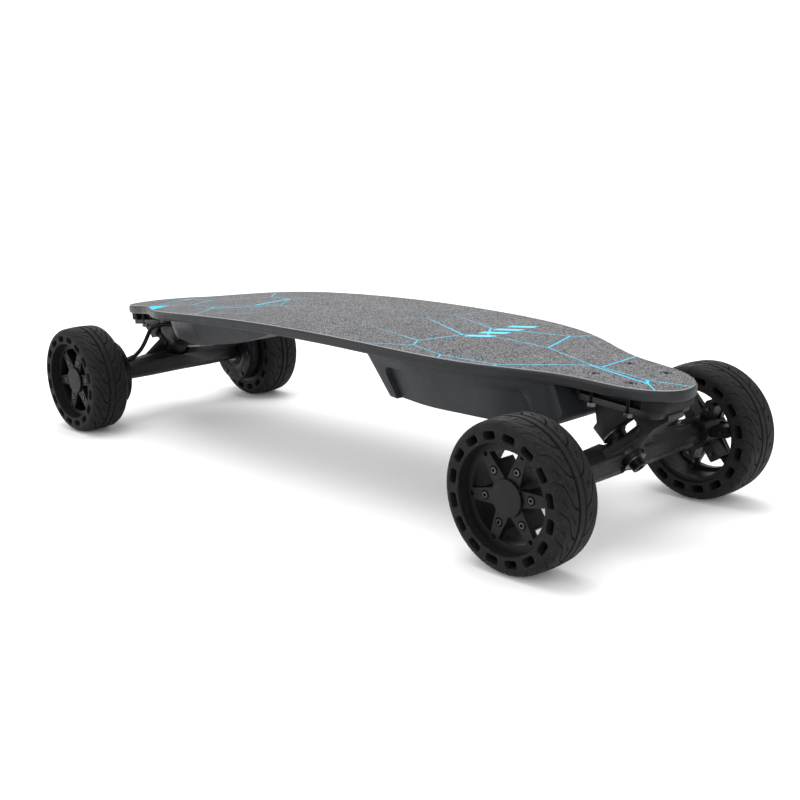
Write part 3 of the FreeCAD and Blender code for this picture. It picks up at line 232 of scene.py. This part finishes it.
def deck_edge():
    """Satin painted deck with a faint sanded grain along its length."""
    made = Shader("deck_paint", 0.4, Specular_IOR_Level=0.26)
    grain = made.noise(55.0, 4.0, 0.6, (0.12, 1.0, 2.4))
    made.colour(made.mix(made.ramp(grain, 0.3, 0.7), rgb(0.0085, 0.0092, 0.0104), rgb(0.0135, 0.0144, 0.016)))
    made.rough(made.ramp(made.noise(90.0, 3.0), 0.3, 0.7, 0.36, 0.5))
    made.bump(made.noise(1300.0, 2.0), 0.00003, 0.5)
    return made.material


CELLS_PER_METRE = 13.5
LINE_HALF_WIDTH = 0.0005


def grip_sheet():
    """Sprayed grit with a generated network of cell lines, cyan at the ends and faint grey between, and a
    painted highlight: pale grey on the sheet's sloping edge faces.
    """
    made = Shader("grip_grit", 0.85, Specular_IOR_Level=0.12)
    grains = made.cells(1150.0, output="Color")
    grey = made.node("ShaderNodeSeparateColor")
    made.link(grains, grey.inputs["Color"])
    fine = made.noise(1300.0, 2.0, 0.7)
    broad = made.noise(26.0, 3.0, 0.5)
    sparkle = made.maths("MULTIPLY", made.ramp(grey.outputs["Red"], 0.0, 1.0, 0.1, 1.9),
                         made.ramp(fine, 0.3, 0.7, 0.6, 1.4))
    tone = made.maths("MULTIPLY", sparkle, made.ramp(broad, 0.3, 0.7, 0.93, 1.07))
    grit = made.mix(made.ramp(tone, 0.25, 2.2), rgb(0.012, 0.012, 0.0135), rgb(0.31, 0.31, 0.32))
    facing = made.node("ShaderNodeSeparateXYZ")
    made.link(made.node("ShaderNodeNewGeometry").outputs["Normal"], facing.inputs["Vector"])
    # painted highlight: faces tilted away from straight up are painted pale grey, standing in for the light
    # line along the sheet's edge
    painted_edge_highlight = made.ramp(facing.outputs["Z"], 0.92, 0.6)
    along = made.maths("ABSOLUTE", made.axis("X"))
    gap = made.cells(CELLS_PER_METRE, "DISTANCE_TO_EDGE", (0.62, 1.0, 0.0), 0.9)
    line = made.maths("LESS_THAN", gap, LINE_HALF_WIDTH * CELLS_PER_METRE)
    strength = made.ramp(along, 0.04, 0.2, 0.3, 1.0)
    ink = made.mix(made.ramp(along, 0.05, 0.17), rgb(0.2, 0.2, 0.2), rgb(0.06, 0.5, 0.72))
    printed = made.mix(made.maths("MULTIPLY", line, strength), grit, ink)
    # the painted edge highlight is laid over the printed grit
    made.colour(made.mix(painted_edge_highlight, printed, rgb(0.34, 0.34, 0.345)))
    height = made.maths("ADD", made.cells(1150.0), made.maths("MULTIPLY", fine, 0.6))
    made.bump(height, 0.00025, 0.6)
    return made.material


def print_ink():
    """Cyan ink over the grit."""
    made = Shader("print_ink", 0.6)
    made.colour(made.mix(made.ramp(made.noise(800.0, 2.0), 0.35, 0.65), rgb(0.045, 0.42, 0.62),
                         rgb(0.09, 0.62, 0.86)))
    made.bump(made.cells(760.0), 0.0002, 0.6)
    return made.material


def circuit_board():
    made = Shader("solder_mask", 0.35)
    tracks = made.cells(260.0, "DISTANCE_TO_EDGE")
    made.colour(made.mix(made.ramp(tracks, 0.02, 0.06), rgb(0.03, 0.2, 0.09), rgb(0.012, 0.08, 0.035)))
    made.bump(tracks, 0.0001, 0.3)
    return made.material


def windings():
    made = Shader("stator_windings", 0.4, 0.8)
    wire = made.node("ShaderNodeTexWave", bands_direction="Y")
    wire.inputs["Scale"].default_value = 380.0
    made.link(made.place, wire.inputs["Vector"])
    made.colour(made.mix(wire.outputs["Fac"], rgb(0.08, 0.03, 0.012), rgb(0.45, 0.18, 0.07)))
    made.bump(wire.outputs["Fac"], 0.0003, 0.6)
    return made.material


MATERIALS = {
    "deck_composite": deck_edge(),
    "grip": grip_sheet(),
    "riser_rubber": rubber("riser_rubber", rgb(0.006, 0.0062, 0.0068), rgb(0.011, 0.0113, 0.0122), 0.55),
    "truck_paint": powder_coat(),
    "urethane": rubber("urethane", rgb(0.004, 0.004, 0.0045), rgb(0.008, 0.008, 0.0085), 0.34),
    "black_steel": metal("black_oxide", rgb(0.005, 0.005, 0.0055), rgb(0.02, 0.02, 0.021), 0.34),
    "bright_steel": metal("zinc_plate", rgb(0.045, 0.045, 0.047), rgb(0.13, 0.13, 0.134), 0.3),
    "bearing_steel": metal("bearing_steel", rgb(0.06, 0.06, 0.06), rgb(0.24, 0.24, 0.245), 0.3),
    "screw_steel": metal("dark_zinc", rgb(0.022, 0.021, 0.02), rgb(0.085, 0.081, 0.075), 0.34),
    "tyre": rubber("tyre_rubber", rgb(0.0055, 0.0054, 0.0052), rgb(0.0105, 0.0103, 0.0099), 0.6, 0.2),
    "hub_plastic": moulded_plastic("hub_nylon", rgb(0.003, 0.0032, 0.0037), rgb(0.006, 0.0063, 0.0071), 0.44,
                                   0.17, 0.0006),
    "motor_aluminium": metal("motor_anodised", rgb(0.006, 0.006, 0.007), rgb(0.02, 0.0205, 0.0225), 0.42),
    "stator_iron": windings(),
    "magnet": metal("nickel", rgb(0.2, 0.2, 0.2), rgb(0.5, 0.5, 0.5), 0.28),
    "enclosure_plastic": moulded_plastic("enclosure_plastic", rgb(0.0165, 0.0178, 0.0208),
                                         rgb(0.022, 0.0233, 0.0268), 0.42, 0.24),
    "battery_wrap": moulded_plastic("battery_film", rgb(0.01, 0.05, 0.18), rgb(0.02, 0.08, 0.26), 0.25),
    "circuit_board": circuit_board(),
    "button_plastic": moulded_plastic("button_plastic", rgb(0.006, 0.006, 0.0065),
                                      rgb(0.01, 0.01, 0.0105), 0.3),
    "cable_rubber": rubber("cable_jacket", rgb(0.004, 0.004, 0.0045), rgb(0.008, 0.008, 0.0085), 0.48),
}
SLOT_OF = {part["node"]: part["material_slot"] for part in frame["record"]["subparts"]}


# ---------------------------------------------------------------- mesh helpers
def dress(piece, slot):
    """Give a piece the material of one of the record's slots."""
    piece.data.materials.clear()
    piece.data.materials.append(MATERIALS[slot])
    return piece


def new_piece(name, mesh, body, slot, *replaced):
    piece = bpy.data.objects.new(name, mesh)
    bpy.context.scene.collection.objects.link(piece)
    dress(piece, slot)
    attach(piece, body)
    if replaced:
        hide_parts(*replaced)
    return piece


def smooth(mesh):
    mesh.polygons.foreach_set("use_smooth", [True] * len(mesh.polygons))


def applied(piece):
    """Replace a piece's mesh with its modifiers' result."""
    graph = bpy.context.evaluated_depsgraph_get()
    final = bpy.data.meshes.new_from_object(piece.evaluated_get(graph))
    piece.modifiers.clear()
    piece.data = final
    return piece


def bevelled(node, width, segments=2, limit=32.0):
    """A copy of a CAD node with small rounds on its sharp edges, in place of the node."""
    mesh = NODES[node].data.copy()
    work = bmesh.new()
    work.from_mesh(mesh)
    bmesh.ops.remove_doubles(work, verts=work.verts, dist=0.000005)
    bmesh.ops.dissolve_limit(work, angle_limit=math.radians(0.6), verts=work.verts, edges=work.edges)
    work.to_mesh(mesh)
    work.free()
    smooth(mesh)
    piece = new_piece(node + "_skin", mesh, NODES[node]["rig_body"], SLOT_OF[node], node)
    bevel = piece.modifiers.new("rounds", "BEVEL")
    bevel.width = width
    bevel.segments = segments
    bevel.limit_method = "ANGLE"
    bevel.angle_limit = math.radians(limit)
    bevel.harden_normals = True
    bevel.use_clamp_overlap = True
    bevel.miter_outer = "MITER_ARC"
    return applied(piece)


# ---------------------------------------------------------------- tyres
TYRE_R = 0.07
TYRE_HALF = 0.02575
SHOULDER = 0.0096
SHOULDER_DROP = 0.009
CROWN = 0.0008
BORE_R = 0.05
SLOTS = 16
SLOT_LOW = 0.0532
SLOT_HIGH = 0.0603
SLOT_HALF_WIDTH = 0.0067
SLOT_ROUND = 0.0022
MOUTH = 0.0007
PITCHES = 16
GROOVE_DEPTH = 0.0019
RIB_HALF = 0.004
RIB_GROOVE = 0.0009
LATERAL_HALF = 0.00075
SWEEP = 0.031


def tread_profile(share):
    """(u, r) on the tread from the left wall's top to the right wall's top, for share from 0 to 1."""
    flat = TYRE_HALF - SHOULDER
    quarter = SHOULDER * math.pi / 2
    length = 2 * (flat + quarter)
    run = share * length - length / 2
    side = np.sign(run)
    distance = np.abs(run)
    angle = np.clip((distance - flat) / SHOULDER, 0, math.pi / 2)
    u = side * (np.minimum(distance, flat) + SHOULDER * np.sin(angle))
    crown = CROWN * np.clip(distance / flat, 0, 1) ** 2
    r = TYRE_R - crown - (SHOULDER_DROP - CROWN) * (1 - np.cos(angle))
    return u, r


def segment_distance(x, y, ax, ay, bx, by):
    """Distance from points to the segment from (ax, ay) to (bx, by)."""
    dx, dy = bx - ax, by - ay
    t = np.clip(((x - ax) * dx + (y - ay) * dy) / (dx * dx + dy * dy), 0, 1)
    return np.hypot(x - ax - t * dx, y - ay - t * dy)


def lateral_sweep(distance):
    """How far round the tyre a lateral groove has gone, at a distance from the centre line."""
    share = np.clip((distance - RIB_HALF) / (TYRE_HALF - RIB_HALF), 0, 1.3)
    return SWEEP * (share - 0.11 * np.sin(2 * math.pi * share) + 0.03 * np.sin(4 * math.pi * share))


def groove_depth(along, across):
    """Depth of the tread grooves; along is the swept distance round the tyre, across is from the centre."""
    pitch = 2 * math.pi * TYRE_R / PITCHES
    away = np.abs(across)
    place = (along + pitch / 2) % pitch - pitch / 2
    rib = np.abs(away - RIB_HALF) - RIB_GROOVE
    taper = np.clip((TYRE_HALF + 0.002 - away) / 0.012, 0.25, 1)
    lateral = np.abs(place) - LATERAL_HALF * taper
    lateral = np.where((away > RIB_HALF) & (away < TYRE_HALF + 0.0015), lateral, 1)
    x, y = place, away
    half = pitch / 2
    stem = segment_distance(np.abs(x), y, half, 0.0085, half, 0.0145) - 0.0004
    left = segment_distance(x % pitch, y, half, 0.0118, half + 0.0032, 0.0098) - 0.0004
    short = segment_distance(x % pitch, y, half * 0.72, 0.0185, half * 0.95, 0.0225) - 0.00035
    return (smooth_step(rib), smooth_step(lateral), smooth_step(np.minimum(stem, np.minimum(left, short))))


def smooth_step(gap):
    """1 inside a groove and 0 outside, with a steep wall."""
    return np.clip(0.5 - gap / 0.0005, 0, 1)


def tyre_mesh():
    """The tyre's treaded band, with +Y outwards and its centre at the origin; build_tyre_mesh adds the walls,
    bore and slots.
    """
    steps = PITCHES * 44
    rows = 84
    angles = np.arange(steps) / steps * 2 * math.pi
    share = np.linspace(0, 1, rows)
    u, r = tread_profile(share)
    run = (share - 0.5) * 2 * (TYRE_HALF - SHOULDER + SHOULDER * math.pi / 2)
    sweep = lateral_sweep(np.abs(run))
    theta = angles[:, None] + sweep[None, :] / TYRE_R
    along = angles[:, None] * TYRE_R + np.zeros_like(theta)
    across = run[None, :] + np.zeros_like(theta)
    rib, lateral, sipe = groove_depth(along, across)
    depth = np.maximum(np.maximum(rib, lateral) * GROOVE_DEPTH, sipe * GROOVE_DEPTH * 0.6)
    fade = np.clip((TYRE_HALF + SHOULDER * 0.55 - np.abs(across)) / 0.004, 0, 1)
    radius = r[None, :] - depth * fade
    verts = np.stack([radius * np.cos(theta), u[None, :] + np.zeros_like(theta), radius * np.sin(theta)], -1)
    verts = verts.reshape(-1, 3).tolist()
    faces = []
    for i in range(steps):
        j = (i + 1) % steps
        for k in range(rows - 1):
            faces.append((i * rows + k, i * rows + k + 1, j * rows + k + 1, j * rows + k))
    return verts, faces


def build_tyre_mesh():
    verts, faces = tyre_mesh()
    mesh = bpy.data.meshes.new("tyre_mesh")
    mesh.from_pydata(verts, [], faces)
    mesh.validate()
    work = bmesh.new()
    work.from_mesh(mesh)
    add_tyre_inside(work)
    bmesh.ops.recalc_face_normals(work, faces=work.faces)
    work.to_mesh(mesh)
    work.free()
    smooth(mesh)
    mesh.set_sharp_from_angle(angle=math.radians(38))
    return mesh


def slot_loop(phase, u, grow):
    """Points round one slot with rounded corners, on a wall plane, grown by a margin."""
    middle = (SLOT_LOW + SLOT_HIGH) / 2
    half_height = (SLOT_HIGH - SLOT_LOW) / 2
    corner = SLOT_ROUND + grow
    points = []
    for quarter in range(4):
        sx = 1 if quarter in (0, 3) else -1
        sy = 1 if quarter in (0, 1) else -1
        for step in range(4):
            angle = math.radians(quarter * 90 + step * 30)
            x = sx * (half_height - SLOT_ROUND) + corner * math.cos(angle)
            y = sy * (SLOT_HALF_WIDTH - SLOT_ROUND) + corner * math.sin(angle)
            points.append((middle + x, y))
    across, along = math.cos(phase), math.sin(phase)
    return [(x * across - y * along, u, x * along + y * across) for x, y in points]


def circle(work, radius, u, count=192):
    turns = [2 * math.pi * n / count for n in range(count)]
    return [work.verts.new((radius * math.cos(t), u, radius * math.sin(t))) for t in turns]


def add_tyre_inside(work):
    """Walls with slots through them, chamfered slot mouths, and the bore."""
    inner_slots = []
    bores = []
    for side in (1, -1):
        wall_u = side * TYRE_HALF
        lip = circle(work, BORE_R + MOUTH, wall_u)
        edges = wall_edge(work, side) + ring_edges(work, lip)
        mouths = []
        for n in range(SLOTS):
            phase = 2 * math.pi * (n + 0.5) / SLOTS
            outer = [work.verts.new(p) for p in slot_loop(phase, wall_u, MOUTH * 0.5)]
            inner = [work.verts.new(p) for p in slot_loop(phase, wall_u - side * MOUTH, 0)]
            edges += ring_edges(work, outer)
            bridge(work, outer, inner)
            mouths.append(inner)
        bmesh.ops.triangle_fill(work, use_beauty=True, use_dissolve=False, edges=edges, normal=(0, side, 0))
        bore = circle(work, BORE_R, wall_u - side * MOUTH)
        bridge(work, lip, bore)
        inner_slots.append(mouths)
        bores.append(bore)
    for first, second in zip(*inner_slots):
        bridge(work, first, second)
    bridge(work, *bores)


def wall_edge(work, side):
    """The open edge loop of the treaded band on one side."""
    return [e for e in work.edges if e.is_boundary and e.verts[0].co.y * side > TYRE_HALF * 0.99
            and e.verts[1].co.y * side > TYRE_HALF * 0.99]


def ring_edges(work, ring):
    return [work.edges.new((ring[n - 1], ring[n])) for n in range(len(ring))]


def bridge(work, first, second):
    count = len(first)
    for n in range(count):
        m = (n + 1) % count
        work.faces.new((first[n], first[m], second[m], second[n]))


def make_tyres():
    base = build_tyre_mesh()
    for end, _ in ENDS:
        for side, sign in SIDES:
            wheel = "wheel_%s_%s" % (end, side)
            joint = JOINTS[wheel + "_spin"]
            mesh = base.copy()
            if sign < 0:
                mesh.transform(Matrix.Scale(-1, 4, (0, 1, 0)))
                mesh.flip_normals()
            mesh.transform(Matrix.Translation(Vector(joint["pos_m"])))
            new_piece(wheel + "_treaded_tyre", mesh, wheel, "tyre", wheel + "_tyre")


# ---------------------------------------------------------------- dressing the CAD nodes
def dress_nodes():
    for name, node in NODES.items():
        dress(node, SLOT_OF[name])


ROUNDED = {"deck_bolts": 0.0003, "deck_nuts": 0.0004, "riser_pad_front": 0.0009, "riser_pad_rear": 0.0009,
           "baseplate_front": 0.0009, "baseplate_rear": 0.0009, "hanger_front": 0.0014, "hanger_rear": 0.0014,
           "axle_nuts_front": 0.0004, "axle_nuts_rear": 0.0004, "axles_front": 0.0004,
           "battery_enclosure": 0.0011, "controller_enclosure": 0.0011,
           "grip_tape": 0.0003}


def round_edges():
    for node, width in ROUNDED.items():
        bevelled(node, width)
    for end, _ in ENDS:
        for side, _ in SIDES:
            wheel = "wheel_%s_%s_" % (end, side)
            bevelled(wheel + "cap", 0.0003)
            if end == "rear":
                bevelled(wheel + "motor_can", 0.0008)
                bevelled(wheel + "motor_cover", 0.0005)


# ---------------------------------------------------------------- the grip sheet's printed mark
PRINT_RAISE = 0.00008
MARK_CENTRE = (0.213, 0.03)
MARK_BARS = 4
MARK_PITCH = 0.022
MARK_BAR = 0.011
MARK_HALF_LENGTH = 0.011
MARK_SLANT = 0.009


def grip_height(x, y):
    """Height of the grip sheet's top at a place, found by a ray from above."""
    hit, place, _, _ = NODES["grip_tape"].ray_cast(Vector((x, y, 0.3)), Vector((0, 0, -1)))
    return place.z + PRINT_RAISE if hit else None


def print_patch(work, near, far):
    """A flat strip laid on the sheet between two short edges, each a pair of (x, y) corners."""
    corners = []
    for x, y in (*near, *reversed(far)):
        height = grip_height(x, y)
        if height is None:
            return
        corners.append(work.verts.new((x, y, height)))
    work.faces.new(corners)


def print_mark(work):
    """A plain mark of slanted bars."""
    for n in range(MARK_BARS):
        y = MARK_CENTRE[1] + (n - (MARK_BARS - 1) / 2) * MARK_PITCH
        edges = []
        for share in (-1, 0, 1):
            x = MARK_CENTRE[0] + share * MARK_HALF_LENGTH
            low = y + share * MARK_SLANT - MARK_BAR / 2
            edges.append(((x, low), (x, low + MARK_BAR)))
        for near, far in zip(edges, edges[1:]):
            print_patch(work, near, far)


def make_print():
    work = bmesh.new()
    print_mark(work)
    bmesh.ops.recalc_face_normals(work, faces=work.faces)
    mesh = bpy.data.meshes.new("printed_mark")
    work.to_mesh(mesh)
    work.free()
    piece = new_piece("printed_mark", mesh, "board", "grip")
    piece.data.materials.clear()
    piece.data.materials.append(print_ink())


# ---------------------------------------------------------------- soft parts: bushings and motor leads
def lathe(profile, origin, axis, steps=64):
    """A closed solid turned from (distance along axis, radius) points about an axis."""
    axis = Vector(axis).normalized()
    side = axis.orthogonal().normalized()
    other = axis.cross(side)
    rows = []
    for along, radius in profile:
        centre = Vector(origin) + axis * along
        rows.append([centre + (side * math.cos(2 * math.pi * n / steps)
                               + other * math.sin(2 * math.pi * n / steps)) * radius for n in range(steps)])
    work = bmesh.new()
    rings = [[work.verts.new(p) for p in row] for row in rows]
    for first, second in zip(rings, rings[1:] + rings[:1]):
        bridge(work, first, second)
    bmesh.ops.recalc_face_normals(work, faces=work.faces)
    mesh = bpy.data.meshes.new("turned")
    work.to_mesh(mesh)
    work.free()
    smooth(mesh)
    return mesh


RING_HALF = 0.006
BOARD_BUSHING = 0.0115
ROAD_BUSHING = 0.0075
BUSHING_R = 0.0115
BUSHING_HOLE = 0.00505


def barrel_profile(start, length, first_r, last_r, waist):
    """A bushing's outline: rounded rims and a slightly pinched or bulged wall, then back along its hole."""
    rim = 0.0009
    outline = []
    for step in range(5):
        angle = math.pi / 2 * step / 4
        outline.append((start + rim * (1 - math.sin(angle)),
                        first_r - rim * (1 - math.cos(math.pi / 2 - angle))))
    outline.reverse()
    wall = [(start + rim + (length - 2 * rim) * share,
             first_r + (last_r - first_r) * share + waist * math.sin(math.pi * share))
            for share in (0.15, 0.3, 0.45, 0.6, 0.75, 0.9)]
    far = [(start + length - rim * (1 - math.sin(math.pi / 2 * step / 4)),
            last_r - rim * (1 - math.cos(math.pi / 2 * step / 4))) for step in range(5)]
    hole = [(start + length, BUSHING_HOLE), (start + length / 2, BUSHING_HOLE), (start, BUSHING_HOLE)]
    return outline + wall + far + hole


def make_bushings():
    for end, sign in ENDS:
        joint = JOINTS[end + "_steer"]
        centre = Vector(joint["pos_m"])
        steer = Vector(joint["axis"])
        king = Vector((abs(steer.z) * sign, 0, -abs(steer.x)))
        board_side = barrel_profile(-RING_HALF - BOARD_BUSHING, BOARD_BUSHING, BUSHING_R, BUSHING_R, -0.0013)
        road_side = barrel_profile(RING_HALF, ROAD_BUSHING, BUSHING_R, BUSHING_R - 0.0014, 0.0003)
        for name, profile, first, last in (
                ("board", board_side, -RING_HALF - BOARD_BUSHING, -RING_HALF),
                ("road", road_side, RING_HALF + ROAD_BUSHING, RING_HALF)):
            mesh = lathe(profile, centre, king)
            piece = bpy.data.objects.new("bushing_%s_%s" % (name, end), mesh)
            bpy.context.scene.collection.objects.link(piece)
            dress(piece, "urethane")
            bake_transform(piece)
            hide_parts("bushings_" + end)


LEAD_R = 0.0028
LEAD_ROUTE = [(-0.312, 0.026, 0.131), (-0.336, 0.032, 0.1325), (-0.356, 0.041, 0.1315),
              (-0.373, 0.045, 0.126), (-0.385, 0.045, 0.112), (-0.388, 0.050, 0.101),
              (-0.388, 0.05824, 0.09216), (-0.388, 0.0668, 0.08709)]


def spline_points(route):
    """Points along the smooth curve of a route."""
    curve = bpy.data.curves.new("route", "CURVE")
    curve.dimensions = "3D"
    curve.resolution_u = 10
    spline = curve.splines.new("NURBS")
    spline.points.add(len(route) - 1)
    for point, place in zip(spline.points, route):
        point.co = (*place, 1.0)
    spline.order_u = 3
    spline.use_endpoint_u = True
    holder = bpy.data.objects.new("route", curve)
    bpy.context.scene.collection.objects.link(holder)
    graph = bpy.context.evaluated_depsgraph_get()
    line = bpy.data.meshes.new_from_object(holder.evaluated_get(graph))
    points = [v.co.copy() for v in line.vertices]
    bpy.data.objects.remove(holder)
    return points


def tube_mesh(points, radius, around=20):
    """A closed tube along points, with its frame carried along without twist."""
    work = bmesh.new()
    rings = []
    normal = None
    for n, here in enumerate(points):
        ahead = points[min(n + 1, len(points) - 1)]
        behind = points[max(n - 1, 0)]
        along = (ahead - behind).normalized()
        normal = along.orthogonal() if normal is None else normal - along * normal.dot(along)
        normal.normalize()
        other = along.cross(normal)
        rings.append([work.verts.new(here + (normal * math.cos(2 * math.pi * k / around)
                                             + other * math.sin(2 * math.pi * k / around)) * radius)
                      for k in range(around)])
    for first, second in zip(rings, rings[1:]):
        bridge(work, first, second)
    work.faces.new(rings[0])
    work.faces.new(rings[-1])
    bmesh.ops.recalc_face_normals(work, faces=work.faces)
    mesh = bpy.data.meshes.new("tube")
    work.to_mesh(mesh)
    work.free()
    smooth(mesh)
    return mesh


def make_leads():
    for side, sign in SIDES:
        route = [(x, y * sign, z) for x, y, z in LEAD_ROUTE]
        mesh = tube_mesh(spline_points(route), LEAD_R)
        piece = bpy.data.objects.new("motor_lead_" + side, mesh)
        bpy.context.scene.collection.objects.link(piece)
        dress(piece, "cable_rubber")
        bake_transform(piece)
        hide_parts("motor_cable_" + side)


# ---------------------------------------------------------------- camera, floor and light
CAMERA_PLACE = Vector((1.0412, -0.8667, 0.3856))
CAMERA_AZIMUTH = 47.88
CAMERA_ELEVATION = 13.21
CAMERA_ROLL = -2.27
CAMERA_LENS = 52.82


def make_camera():
    azimuth, elevation, roll = (math.radians(a) for a in (CAMERA_AZIMUTH, CAMERA_ELEVATION, CAMERA_ROLL))
    back = Vector((math.sin(azimuth) * math.cos(elevation), -math.cos(azimuth) * math.cos(elevation),
                   math.sin(elevation)))
    right = Vector((math.cos(azimuth), math.sin(azimuth), 0))
    up = back.cross(right)
    across = right * math.cos(roll) + up * math.sin(roll)
    upright = up * math.cos(roll) - right * math.sin(roll)
    camera = bpy.data.objects.new("camera", bpy.data.cameras.new("camera"))
    bpy.context.scene.collection.objects.link(camera)
    matrix = Matrix((across, upright, back)).transposed().to_4x4()
    matrix.translation = CAMERA_PLACE
    camera.matrix_world = matrix
    camera.data.lens = CAMERA_LENS
    camera.data.sensor_width = 36.0
    camera.data.clip_end = 300.0
    bpy.context.scene.camera = camera


def make_stage():
    work = bmesh.new()
    reach = 90.0
    corners = [work.verts.new((x * reach, y * reach, 0)) for x, y in ((-1, -1), (1, -1), (1, 1), (-1, 1))]
    work.faces.new(corners)
    mesh = bpy.data.meshes.new("floor")
    work.to_mesh(mesh)
    work.free()
    floor = bpy.data.objects.new("floor", mesh)
    bpy.context.scene.collection.objects.link(floor)
    paper = Shader("floor_paper", 0.9, Specular_IOR_Level=0.1)
    paper.colour(paper.mix(paper.ramp(paper.noise(3.0), 0.3, 0.7), rgb(0.9, 0.9, 0.9), rgb(0.93, 0.93, 0.93)))
    floor.data.materials.append(paper.material)


def area_light(name, place, target, size, power, colour=(1, 1, 1)):
    light = bpy.data.lights.new(name, "AREA")
    light.shape = "RECTANGLE"
    light.size = size[0]
    light.size_y = size[1]
    light.energy = power
    light.color = colour
    holder = bpy.data.objects.new(name, light)
    bpy.context.scene.collection.objects.link(holder)
    holder.location = place
    holder.rotation_euler = (Vector(target) - Vector(place)).to_track_quat("-Z", "Y").to_euler()


def make_lights():
    area_light("key_overhead", (-0.2, 0.1, 2.4), (0, 0, 0.1), (2.2, 1.6), 34)
    area_light("front_fill", (2.4, -1.6, 1.1), (0.1, 0, 0.1), (1.2, 0.9), 12)
    area_light("side_fill", (-0.9, -2.6, 0.9), (0, 0, 0.1), (1.6, 0.8), 14)
    area_light("back_rim", (-2.2, 2.2, 1.4), (0, 0, 0.1), (1.6, 0.8), 12)
    world = bpy.data.worlds.new("studio")
    world.use_nodes = True
    world.node_tree.nodes["Background"].inputs["Color"].default_value = (1, 1, 1, 1)
    world.node_tree.nodes["Background"].inputs["Strength"].default_value = 1.12
    bpy.context.scene.world = world
    bpy.context.scene.view_settings.view_transform = "Standard"


make_camera()
make_stage()
make_lights()
dress_nodes()
make_print()
round_edges()
make_tyres()
make_bushings()
make_leads()
